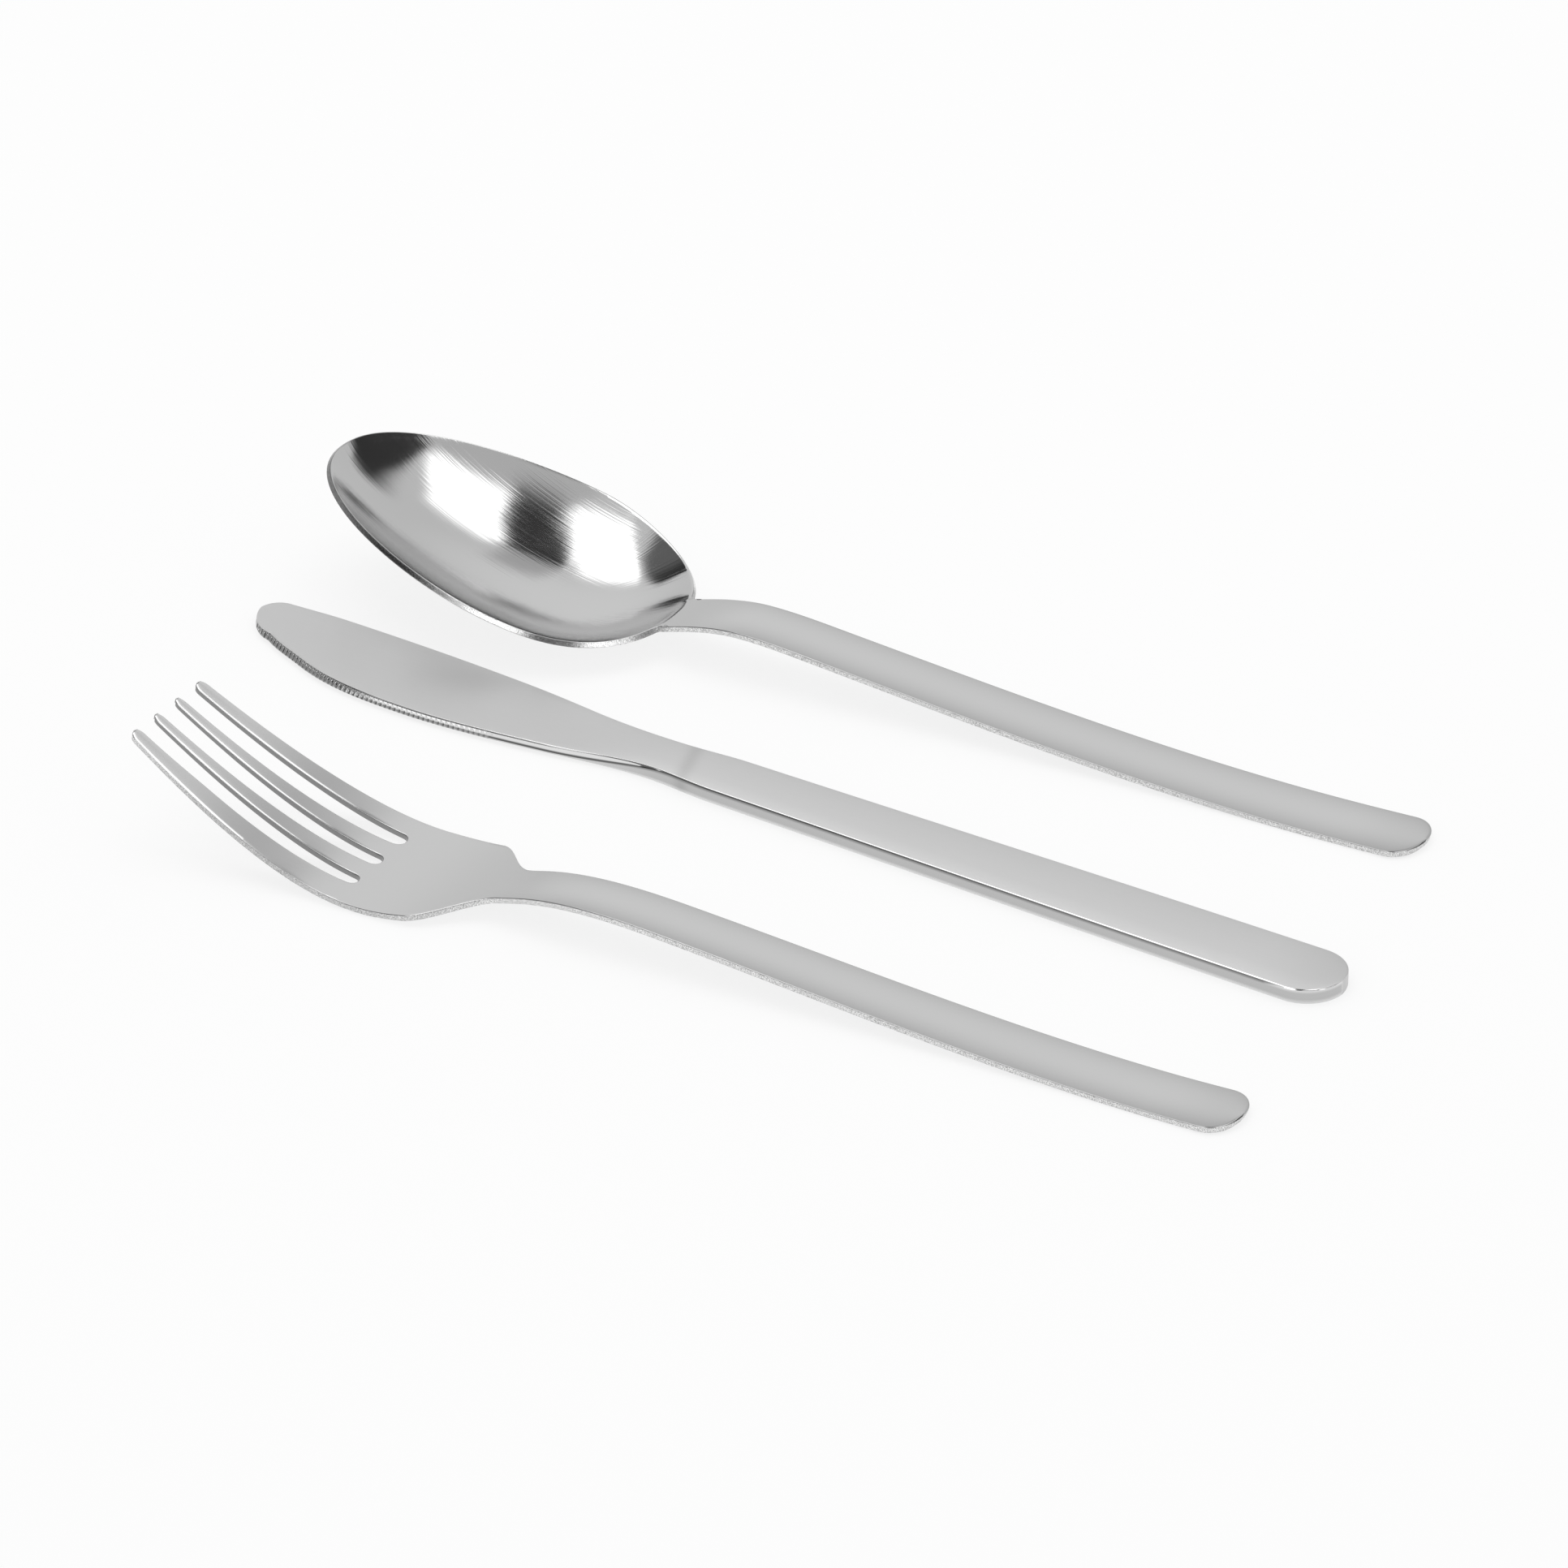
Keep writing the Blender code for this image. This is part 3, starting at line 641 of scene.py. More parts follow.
def fork_far_stretch(x):
    """How much wider the far side is, whose shoulder comes later and falls steeper."""
    steep = FORK_SHOULDER_TO_TIP + FORK_FAR_SHOULDER_SHIFT
    share = ease((x - (steep - FORK_FAR_SHOULDER_LENGTH)) / (1.5 * FORK_FAR_SHOULDER_LENGTH))
    return fork_half_width(x, share) / fork_half_width(x)


def fork_row(x):
    """Plan points across the whole fork at x, behind the slots."""
    half = fork_half_width(x)
    stretch = fork_far_stretch(x)
    tines = tine_columns(min(x, TINE_LENGTH))
    lines = list(tines[0])
    for before, after in zip(tines, tines[1:]):
        lines += [(before[-1] + after[0]) / 2] + after
    scale = half / fork_half_width(TINE_LENGTH)
    share = ease((x - TINE_LENGTH) / (FORK_SHOULDER_TO_TIP - TINE_LENGTH))
    row = [line * scale * (1 - share) + half * (2 * k / FORK_CELLS - 1) * share
           for k, line in enumerate(lines)]
    return [(x, y * stretch if y > 0 else y) for y in row]


def tine_crown(x, y):
    """How far a tine falls away towards its long edges at a place of its plan."""
    low, high = min(tine_edges(x), key=lambda edges: abs(y - sum(edges) / 2))
    s = min(abs(2 * y - low - high) / (high - low), 1.0)
    return TINE_CROWN * s * s * (1 - ease(x / TINE_LENGTH))


def fork_height(x, y):
    crown = handle_crown(x, y, fork_half_width(x), FORK_SHOULDER_TO_TIP, FORK_CREST_TO_TIP)
    if x < TINE_LENGTH:
        crown = tine_crown(x, y)
    return along(FORK_HEIGHTS, x) - crown


def fork_tone(x, y):
    # Painted shade on the handle times painted light on the tines
    handle = handle_tone(x, y, fork_half_width(x), FORK_SHOULDER_TO_TIP, FORK_LENGTH)
    return handle * along(TINE_PAINTED_LIGHT, x)


def cut_fork_blank():
    """Blank of the fork: a strip for each tine, rows behind them, a fan in its end."""
    slots = FORK_HEAD_WIDTH - TINES * TINE_ROOT_WIDTH - 2 * OUTER_TINE_EXTRA_WIDTH
    root = slots / (2 * SLOTS)
    places = [TINE_TIP_ROUNDING * s for s in TINE_TIP_PLACES]
    places += evenly(TINE_TIP_ROUNDING, TINE_LENGTH - root, TINE_STATIONS)
    places += [TINE_LENGTH - root + root * sin(radians(a))
               for a in range(0, 73, SLOT_END_STEP)]
    places.append(TINE_LENGTH)
    strips = [[[(x, y) for y in tine_columns(x)[k]] for x in places] for k in range(TINES)]
    stops = (TINE_LENGTH, FORK_SHOULDER_START, FORK_SHOULDER_STOP,
             FORK_CREST_TO_TIP + CREST_SHARE * FORK_RUN, FORK_LENGTH - HANDLE_END_ROUNDING)
    handle = [fork_row(x) for x in stations(stops, FORK_STATIONS)]
    end = end_of_handle(fork_half_width, FORK_LENGTH, FORK_CELLS)
    return cut_blank("satin_fork", strips + [handle, end], fork_height, fork_tone,
                     FORK_CUT_PAINTED_LIGHT)


# Knife

WAIST = BLADE_LENGTH - WAIST_TO_BLADE_END
HALF_HANDLE = KNIFE_HANDLE_THICKNESS / 2
SERRATION_END = SERRATION_TO_TIP + SERRATION_LENGTH
TIP_EDGE_CURVE = (1.6, 0.65)
GRIND_SHARE_AT_TIP = 0.25
KNIFE_TIP_STEP = 4
STATIONS_IN_TOOTH = 8
KNIFE_STATIONS = (60, 30)
KNIFE_END_STATIONS = 18
KNIFE_SHARP_OVER_ANGLE = radians(28)
TEETH_FADE_OVER = 0.5
TEETH_LAST_SHARE = 0.25
FLUTE_SLANT = 0.35

BLADE_BACK = [
    (BLADE_BACK_ROUNDING, BLADE_BACK_AT_TIP, 0.06),
    (BLADE_BACK_STRAIGHT_TO_TIP, BLADE_BACK_OFFSET, 0.0),
    (BLADE_BELLY_TO_TIP + BELLY_TO_BACK_FALL, BLADE_BACK_OFFSET - BLADE_BACK_FALL, -0.068),
    (WAIST, KNIFE_WAIST_WIDTH / 2, 0.0),
    (WAIST + WAIST_TO_HANDLE, KNIFE_HANDLE_START_WIDTH / 2, 0.012),
    (KNIFE_LENGTH - KNIFE_END_ROUNDING, KNIFE_HANDLE_END_WIDTH / 2, 0.003),
]
BLADE_EDGE = [
    (BLADE_EDGE_ROUNDING, -(0.26 * BLADE_BELLY_OFFSET), -0.62),
    (BLADE_SWEEP_TO_TIP, -(0.66 * BLADE_BELLY_OFFSET), -0.42),
    (BLADE_BELLY_TO_TIP, -BLADE_BELLY_OFFSET, 0.0),
    (WAIST - HEEL_TO_WAIST, -(KNIFE_WAIST_WIDTH / 2 + HEEL_BELOW_WAIST), 0.15),
    (WAIST, -KNIFE_WAIST_WIDTH / 2, 0.0),
    (WAIST + WAIST_TO_HANDLE, -KNIFE_HANDLE_START_WIDTH / 2, -0.012),
    (KNIFE_LENGTH - KNIFE_END_ROUNDING, -KNIFE_HANDLE_END_WIDTH / 2, -0.003),
]

# How many cells each side of the knife's section takes: ground face, top, back edge, back,
# lower back edge, underside, lower near edge, near side
RING_CELLS = (12, 10, 4, 2, 4, 10, 4, 4)
GROUND_SIDE = 0
ROUNDED_SIDES = (2, 6)
LOWER_BACK_SIDE = 4

# Painted light and shade on the knife's handle: brighter towards its cutting edge, a little darker
# towards its back, and darker on its near side face
KNIFE_TONE = 1.04
KNIFE_TONE_FALL = 0.07
KNIFE_TONE_RISE = 0.15
KNIFE_TONE_RISES_FROM = 0.4
KNIFE_SIDE_PAINTED_SHADE = 0.78
# Painted light and shade of the ground face along the cutting edge: a dark ground, flutes painted
# light and dark, and a painted highlight line where it rolls into the flat of the blade
GROUND_FACE_PAINTED_SHADE = 0.26
FLUTE_PAINTED_LIGHT = 0.42
PAINTED_HIGHLIGHT_TONE = 1.56
LINE_FROM = 0.16
LINE_SOFTNESS = 0.12
LINE_BEGINS = 30.0 * MM
LINE_BEGINS_OVER = 8.0 * MM
# Painted shade across the crease where the blade meets the handle
CREASE_SLANT = 0.35
CREASE_WIDTH = 1.3 * MM
CREASE_PAINTED_SHADE = 0.15


def knife_back(x):
    first = BLADE_BACK[0]
    if x < first[0]:
        s = (first[0] - x) / (first[0] - BLADE_START)
        return BLADE_TIP_OFFSET + (first[1] - BLADE_TIP_OFFSET) * sqrt(1 - s * s)
    return along(BLADE_BACK, x) * rounded(x, KNIFE_LENGTH, KNIFE_END_ROUNDING)


def knife_edge(x):
    first = BLADE_EDGE[0]
    flat, steep = TIP_EDGE_CURVE
    if x < first[0]:
        s = (first[0] - x) / (first[0] - BLADE_START)
        return BLADE_TIP_OFFSET + (first[1] - BLADE_TIP_OFFSET) * (1 - s ** flat) ** steep
    return along(BLADE_EDGE, x) * rounded(x, KNIFE_LENGTH, KNIFE_END_ROUNDING)


def handle_share(x):
    """0 on the blade, 1 on the handle, with a ramp between them."""
    return ease((x - (BLADE_LENGTH - SHOULDER_RAMP)) / SHOULDER_RAMP)


def knife_corners(x):
    """The eight corners of the knife's section at x: the blade is ground from above."""
    share = handle_share(x)
    blade = BLADE_TIP_THICKNESS + (BLADE_THICKNESS - BLADE_TIP_THICKNESS) * ease(
        x / (BLADE_LENGTH - SHOULDER_RAMP))
    top = blade / 2 * (1 - share) + HALF_HANDLE * share
    edge = (CUTTING_EDGE_THICKNESS - top) * (1 - share) + (top - KNIFE_TOP_EDGE_DROP) * share
    near = knife_edge(x)
    back = knife_back(x)
    room = (back - near) / 4
    narrow = ease((x - GRIND_NARROWS_FROM) / (GRIND_NARROW_AT - GRIND_NARROWS_FROM))
    ground = (GRIND_WIDTH + (GRIND_WIDTH_BEHIND - GRIND_WIDTH) * narrow) * (
        GRIND_SHARE_AT_TIP + (1 - GRIND_SHARE_AT_TIP) * ease(x / GRIND_WIDENS_BY))
    grind = min(ground * (1 - share) + KNIFE_TOP_EDGE_WIDTH * share, room)
    under = min(CUTTING_EDGE_CHAMFER * (1 - share) + KNIFE_EDGE_CHAMFER * share, room)
    chamfer = min(KNIFE_EDGE_CHAMFER, room)
    return ((near, edge), (near + grind, top), (back - chamfer, top), (back, top - chamfer),
            (back, chamfer - top), (back - chamfer, -top), (near + under, -top),
            (near, under - top))


def grind_rounding(x):
    """Share of the ground face that rolls over into the flat of the blade at x."""
    s = ease((x - GRIND_ROUNDS_FROM) / (GRIND_ROUND_AT - GRIND_ROUNDS_FROM))
    return GRIND_ROUNDING_AT_TIP + (GRIND_ROUNDING_BEHIND - GRIND_ROUNDING_AT_TIP) * s


def rolled(s, rounding):
    """Straight rise that rolls over to level within the last share of its way."""
    slope = 1 / (1 - rounding / 2)
    over = max(s - (1 - rounding), 0.0)
    return slope * (s - over * over / (2 * rounding))


def knife_section(x):
    """All points of the knife's section at x, with rounded long edges."""
    corners = knife_corners(x)
    rounding = grind_rounding(x)
    points = []
    for side, cells in enumerate(RING_CELLS):
        y0, z0 = corners[side]
        y1, z1 = corners[(side + 1) % len(corners)]
        for k in range(cells):
            s = k / cells
            y, z = y0 + (y1 - y0) * s, z0 + (z1 - z0) * s
            if side == GROUND_SIDE:
                z = z0 + (z1 - z0) * rolled(s, rounding)
            turn = pi / 2 * s
            if side in ROUNDED_SIDES:
                y, z = y0 + (y1 - y0) * sin(turn), z1 + (z0 - z1) * cos(turn)
            elif side == LOWER_BACK_SIDE:
                y, z = y1 + (y0 - y1) * cos(turn), z0 + (z1 - z0) * sin(turn)
            points.append((y, z))
    return points


def knife_tone(x, y, on_side):
    """Share of the steel's brightness on the knife, painted lighter and darker across its handle,
    with painted shade in the crease before its handle.
    """
    t = (2 * y - knife_edge(x) - knife_back(x)) / (knife_back(x) - knife_edge(x))
    share = handle_share(x)
    top = KNIFE_TONE - KNIFE_TONE_FALL * t + KNIFE_TONE_RISE * max(
        -t - KNIFE_TONE_RISES_FROM, 0.0)
    top -= PAINTED_SHADE_AT_END * ease((x - (KNIFE_LENGTH - PAINTED_SHADE_END_LENGTH)) / PAINTED_SHADE_END_LENGTH)
    handle = KNIFE_SIDE_PAINTED_SHADE if on_side else top
    from_crease = (x + CREASE_SLANT * y - BLADE_LENGTH) / CREASE_WIDTH
    crease = 1 - CREASE_PAINTED_SHADE * exp(-from_crease * from_crease)
    return (1 - share + handle * share) * crease


def ground_tone(x, rise):
    """Painted light and shade of the ground face: a dark ground, flutes painted light and dark, and
    a painted highlight line where it meets the flat.
    """
    flute = abs(sin(pi * (x - SERRATION_TO_TIP) / TOOTH_PITCH))
    teeth = GROUND_FACE_PAINTED_SHADE + FLUTE_PAINTED_LIGHT * flute
    toothed = 1 - ease((x - SERRATION_END) / TOOTH_PITCH)
    below = teeth * toothed + GROUND_FACE_PAINTED_SHADE * (1 - toothed)
    line = ease((x - LINE_BEGINS) / LINE_BEGINS_OVER) * ease((rise - LINE_FROM) / LINE_SOFTNESS)
    return below * (1 - line) + PAINTED_HIGHLIGHT_TONE * line


def teeth_tree():
    """Node tree that cuts flutes across the ground face, evenly along the blade."""
    wires, given, result = open_tree("teeth", ("Pitch", "Depth", "Start", "Length"), ("Steel",))
    x = wires.parts(wires.node('GeometryNodeInputPosition').outputs[0])["X"]
    from_start = wires.minus(x, given["Start"])
    phase = wires.maths('DIVIDE', from_start, given["Pitch"])
    wave = wires.maths('ABSOLUTE', wires.maths('SINE', wires.times(phase, pi)))
    left = wires.maths('DIVIDE', wires.minus(given["Length"], from_start), given["Length"])
    within = wires.times(wires.maths('GREATER_THAN', from_start, 0.0),
                         wires.maths('GREATER_THAN', left, 0.0))
    fade = wires.ranged(left, 0.0, TEETH_FADE_OVER, TEETH_LAST_SHARE, 1.0)
    cut = wires.times(wires.times(wires.minus(1.0, wave), within), fade)
    cut = wires.times(wires.times(cut, wires.attribute("ground_face")), given["Depth"])
    moved = wires.node('GeometryNodeSetPosition', {
        "Geometry": given["Mesh"],
        "Offset": wires.vector(0.0, cut, wires.times(cut, -FLUTE_SLANT))})
    real = wires.node('GeometryNodeRealizeInstances', {0: moved.outputs[0]})
    wires.feed(result, coated(wires, real.outputs[0], given["Steel"]))
    return wires.tree


def knife_places():
    """Places of the sections along the knife: close in the tip and in every tooth."""
    tip = [BLADE_BACK_ROUNDING - (BLADE_BACK_ROUNDING - BLADE_START) * cos(radians(a))
           for a in range(KNIFE_TIP_STEP - 1, 90, KNIFE_TIP_STEP)]
    count = round((SERRATION_END - BLADE_BACK_ROUNDING) / TOOTH_PITCH * STATIONS_IN_TOOTH)
    toothed = evenly(BLADE_BACK_ROUNDING, SERRATION_END, count)
    stops = (SERRATION_END, WAIST + WAIST_TO_HANDLE, KNIFE_LENGTH - KNIFE_END_ROUNDING)
    return (tip + toothed + stations(stops, KNIFE_STATIONS)[:-1]
            + round_end(KNIFE_LENGTH, KNIFE_END_ROUNDING, KNIFE_END_STATIONS))


def make_knife(steel):
    ring = bmesh.new()
    depth = ring.verts.layers.float.new("ground_face")
    polish = ring.verts.layers.float.new("polish")
    shade = ring.verts.layers.float.new("tone")
    size = sum(RING_CELLS)
    near_side = size - RING_CELLS[-1]
    rows = []
    for x in knife_places():
        flat = 1.02 - 0.8 * grind_rounding(x)
        row = [ring.verts.new((x, y, z)) for y, z in knife_section(x)]
        for k, vert in enumerate(row):
            rise = k / RING_CELLS[GROUND_SIDE]
            # Painted light and shade: the handle's tones, the ground face's painted shade and
            # highlight line, and the same painted flutes on the near side along the teeth
            vert[shade] = knife_tone(x, vert.co.y, k > near_side)
            if rise < 1 and x < KNIFE_LENGTH - KNIFE_END_ROUNDING:
                vert[shade] = ground_tone(x, rise)
            elif k > near_side and x < SERRATION_END:
                vert[shade] = ground_tone(x, 0.0)
            vert[polish] = float(rise < 1 or k > near_side)
            if rise < 1:
                vert[depth] = max(1 - (rise / flat) ** 4, 0.0)
            elif k > near_side - RING_CELLS[-2]:
                vert[depth] = 1.0
        rows.append(row)
    for first, second in zip(rows, rows[1:]):
        for k in range(size):
            n = (k + 1) % size
            ring.faces.new((first[k], second[k], second[n], first[n]))
    ring.faces.new(list(reversed(rows[0])))
    ring.faces.new(rows[-1])
    bmesh.ops.recalc_face_normals(ring, faces=ring.faces)
    knife = to_object(ring, "toothed_knife")
    run_tree(knife, teeth_tree(), {"Pitch": TOOTH_PITCH, "Depth": TOOTH_DEPTH,
                                   "Start": SERRATION_TO_TIP, "Length": SERRATION_LENGTH,
                                   "Steel": steel})
    knife.data.shade_smooth()
    freeze(knife)
    knife.data.set_sharp_from_angle(angle=KNIFE_SHARP_OVER_ANGLE)
    return knife


# Finishes

STEEL_BRIGHTNESS = 0.64
CUT_STEEL_BRIGHTNESS = 0.6
# Painted light: the undersides get a brighter copy of the same steel, to lighten them where they
# are mirrored
LIT_UNDERSIDE_BRIGHTNESS = 0.84
# Painted shade: colour of the cut faces in the slots between the tines
SLOT_PAINTED_SHADE = 0.26
POLISHED_ROUGHNESS = 0.1
SPOON_ROUGHNESS = 0.085
SPOON_UNDER_ROUGHNESS = 0.14
SPOON_TILT = 0.008
BOWL_TILT = 0.05
KNIFE_ROUGHNESS = 0.36
KNIFE_TILT = 0.003
FORK_ROUGHNESS = 0.17
FORK_TILT = 0.010
SPOON_CUT_ROUGHNESS = 0.14
SPOON_CUT_TILT = 0.16
FORK_CUT_ROUGHNESS = 0.2
FORK_CUT_TILT = 0.09
BRUSH_LINES_PER_METRE = 4600.0
BRUSH_RUNS_PER_METRE = 60.0
BOWL_BRUSH_TURN = radians(3)
BOWL_RADIAL_LINES = 75.0
BOWL_RADIAL_FROM = 6.0 * MM
BOWL_RADIAL_AT = 15.0 * MM
BOWL_BRUSH_ENDS_FROM = 0.75 * BOWL_WIDEST_TO_NECK
BOWL_BRUSH_ENDS_AT = 1.3 * BOWL_WIDEST_TO_NECK
GRAIN_PER_METRE = 5200.0
GRAIN_DETAIL = 3
GRAIN_TONES = (0.36, 0.84)
GRAIN_ROUGHNESS = (-0.06, 0.08)
NOISE_ROUGHNESS = 0.55
# Share of the fineness and detail of the fine lines and of the wide ones
FINE_LINES = (1.0, 3)
WIDE_LINES = (0.3, 2)
WIDE_BOWL_LINES = (0.55, 2)
WIDE_BOWL_SHARE = 1.1
HAIRLINES = (1.1, 1)
HAIRLINE_TURN = radians(-20)
HAIRLINE_ROUGHNESS = 0.05
LINE_ROUGHNESS = 0.03
SMUDGES_PER_METRE = 70.0
SMUDGE_DETAIL = 2
SMUDGE_ROUGHNESS = 0.012
# Parts of the noise's own range that are spread over a finish
WIDE_RANGE = (0.3, 0.7)
MIDDLE_RANGE = (0.35, 0.65)
TOP_RANGE = (0.72, 0.8)


def steel_base(name, brightness):
    """Bare metal shader; returns the material, its wiring and the inputs of its shader."""
    steel = bpy.data.materials.new(name)
    steel.use_nodes = True
    shader = steel.node_tree.nodes["Principled BSDF"].inputs
    shader["Base Color"].default_value = (brightness, brightness, brightness, 1)
    shader["Metallic"].default_value = 1.0
    return steel, Wiring(steel.node_tree), shader


def finish(wires, shader, level, rough, height, distance):
    """Feed a steel shader its brightness, its roughness and the relief of its surface."""
    wires.feed(shader["Base Color"], wires.vector(level, level, level))
    wires.feed(shader["Roughness"], rough)
    relief = wires.node('ShaderNodeBump', {"Distance": distance, "Height": height})
    wires.feed(shader["Normal"], relief.outputs[0])


def noise(wires, place, detail, scale=1.0):
    return wires.node('ShaderNodeTexNoise', {
        "Vector": place, "Scale": scale, "Detail": detail,
        "Roughness": NOISE_ROUGHNESS}).outputs["Fac"]


def own_place(wires, turn):
    """Place on the piece in its own frame, x along it, apart from where it lies."""
    place = wires.node('ShaderNodeTexCoord').outputs["Object"]
    turned = wires.node('ShaderNodeMapping', {"Vector": place, "Rotation": (0, 0, -turn)})
    return wires.parts(turned.outputs[0])


def straight_lines(wires, x, y, z, fineness, detail):
    """Brush lines that run along the piece."""
    across = BRUSH_LINES_PER_METRE * fineness
    run = BRUSH_RUNS_PER_METRE * fineness
    place = wires.vector(wires.times(x, run), wires.times(y, across), wires.times(z, across))
    return noise(wires, place, detail)


def turned_lines(wires, x, y, angle, fineness, detail):
    """Brush lines that cross the piece at an angle."""
    sine, cosine = sin(angle), cos(angle)
    run = wires.minus(wires.times(x, cosine), wires.times(y, sine))
    across = wires.plus(wires.times(x, sine), wires.times(y, cosine))
    return straight_lines(wires, run, across, 0.0, fineness, detail)


def radial_lines(wires, x, y, fineness, detail):
    """Brush lines that run outwards from a middle."""
    radius = wires.maths('SQRT', wires.plus(wires.times(x, x), wires.times(y, y)))
    safe = wires.maths('MAXIMUM', radius, 0.1 * MM)
    lines = BOWL_RADIAL_LINES * fineness
    place = wires.vector(wires.times(wires.maths('DIVIDE', x, safe), lines),
                         wires.times(wires.maths('DIVIDE', y, safe), lines),
                         wires.times(radius, BRUSH_RUNS_PER_METRE * fineness))
    return noise(wires, place, detail)


def mixed(wires, share, first, second):
    return wires.node('ShaderNodeMix', {
        "Factor": share, "A": first, "B": second}).outputs["Result"]


def bowl_lines(wires, x, y, fineness, detail):
    """Lines across the bowl that give way to lines outwards towards the handle."""
    outwards = wires.ranged(x, BOWL_RADIAL_FROM, BOWL_RADIAL_AT, 0.0, 1.0, 'SMOOTHSTEP')
    return mixed(wires, outwards,
                 turned_lines(wires, x, y, BOWL_BRUSH_TURN, fineness, detail),
                 radial_lines(wires, x, y, fineness, detail))


def satin_steel(name, turn, roughness, tilt, bowl_place=None, bright=False):
    """Satin steel with fine lines along the piece, and its own brushing in a bowl."""
    # Undersides take a brighter copy of the steel: painted light
    brightness = LIT_UNDERSIDE_BRIGHTNESS if bright else STEEL_BRIGHTNESS
    steel, wires, shader = steel_base(name, brightness)
    x, y, z = own_place(wires, turn)
    lines = straight_lines(wires, x, y, z, *FINE_LINES)
    wide = straight_lines(wires, x, y, z, *WIDE_LINES)
    height = wires.times(wires.plus(lines, wide), tilt)
    if bowl_place:
        u = wires.minus(x, bowl_place[0])
        v = wires.minus(y, bowl_place[1])
        in_bowl = wires.ranged(u, BOWL_BRUSH_ENDS_FROM, BOWL_BRUSH_ENDS_AT,
                               1.0, 0.0, 'SMOOTHSTEP')
        lines = bowl_lines(wires, u, v, *FINE_LINES)
        wide = bowl_lines(wires, u, v, *WIDE_BOWL_LINES)
        relief = wires.plus(lines, wires.times(wide, WIDE_BOWL_SHARE))
        height = mixed(wires, in_bowl, height, wires.times(relief, BOWL_TILT))
    smudge = noise(wires, wires.vector(x, y, z), SMUDGE_DETAIL, SMUDGES_PER_METRE)
    hairline = turned_lines(wires, x, y, HAIRLINE_TURN, *HAIRLINES)
    rough = wires.plus(
        wires.ranged(lines, *WIDE_RANGE, roughness - LINE_ROUGHNESS, roughness + LINE_ROUGHNESS),
        wires.ranged(smudge, *MIDDLE_RANGE, -SMUDGE_ROUGHNESS, SMUDGE_ROUGHNESS))
    rough = wires.plus(rough, wires.ranged(hairline, *TOP_RANGE, 0.0, HAIRLINE_ROUGHNESS))
    rough = mixed(wires, wires.painted("polish"), rough, POLISHED_ROUGHNESS)
    # Colour is the steel's brightness times the painted light and shade of its points
    level = wires.times(wires.painted("tone"), brightness)
    finish(wires, shader, level, rough, height, 1.0 / BRUSH_LINES_PER_METRE)
    return steel


def cut_steel(name, turn, roughness, tilt, slots=None):
    """The same steel where it was cut: grainy, with painted light and shade along the cut, and
    painted shade in the slots between the tines.
    """
    steel, wires, shader = steel_base(name, CUT_STEEL_BRIGHTNESS)
    x, y, z = own_place(wires, turn)
    grain = noise(wires, wires.vector(x, y, z), GRAIN_DETAIL, GRAIN_PER_METRE)
    # Colour of the cut: painted light and shade along it, times the grain
    level = wires.times(wires.painted("cut_tone"),
                        wires.ranged(grain, *MIDDLE_RANGE, *GRAIN_TONES))
    # Painted shade in the slots between the tines
    if slots:
        in_slot_shade = wires.times(wires.maths('LESS_THAN', x, slots[0]),
                             wires.maths('GREATER_THAN', y, slots[1]))
        level = mixed(wires, in_slot_shade, level, SLOT_PAINTED_SHADE)
    less, more = GRAIN_ROUGHNESS
    rough = wires.ranged(grain, *WIDE_RANGE, roughness + less, roughness + more)
    finish(wires, shader, level, rough, wires.times(grain, tilt), 1.0 / GRAIN_PER_METRE)
    return steel


# Studio

CARD_HEIGHT = 1.2
CARD_GAP = 0.02
CARD_COLUMNS = 10
DARK_CARD = 0.04
GREY_CARD = 0.15
SOFT_GREY_CARD = 0.5
GREY_FRONT_CARD = 0.6
FRONT_FLAG = 0.1
BRIGHT_CARD = 2.2
RIM_CARD = 1.5
GLOW_FROM = (-0.42, 0.66, 0.62)
GLOW_NARROWS_AT = 0.86
GLOW_STRENGTH = 1.08
ROOM_STRENGTH = 0.9
ROOM_LIGHT = 1.0
TABLE_HALF_SIZE = 6.0
TABLE_COLOUR = (0.93, 0.93, 0.93, 1)
TABLE_GLOW_SHARE = 0.75
LAMP_SIZE = (1.6, 1.2)
LAMP_ENERGY = 6.0
LAMP_PLACE = Vector((-0.2, 0.3, 1.5))


def only_in_reflections(card):
    card.visible_camera = False
    card.visible_diffuse = False
    card.visible_shadow = False
    card.visible_transmission = False
    card.visible_volume_scatter = False


def bare_tree(owner):
    """Wiring of a material or a world without its first nodes."""
    owner.use_nodes = True
    owner.node_tree.nodes.clear()
    return Wiring(owner.node_tree)


def two_shaders(wires, share, first, second):
    return wires.node('ShaderNodeMixShader', {
        "Fac": share, 1: first.outputs[0], 2: second.outputs[0]}).outputs[0]


def card_material(name, strength, left, right, bottom, top):
    """Card that fades out along each side over a share of its width or its height."""
    paper = bpy.data.materials.new(name)
    wires = bare_tree(paper)
    u, v, _ = wires.parts(wires.node('ShaderNodeUVMap').outputs[0])
    cover = 1.0
    for place, fade in ((u, left), (wires.minus(1.0, u), right),
                        (v, bottom), (wires.minus(1.0, v), top)):
        if fade > 0:
            cover = wires.times(wires.ranged(place, 0.0, fade, 0.0, 1.0, 'SMOOTHSTEP'), cover)
    clear = wires.node('ShaderNodeBsdfTransparent')
    glow = wires.node('ShaderNodeEmission', {"Strength": strength})
    wires.node('ShaderNodeOutputMaterial', {"Surface": two_shaders(wires, cover, clear, glow)})
    return paper


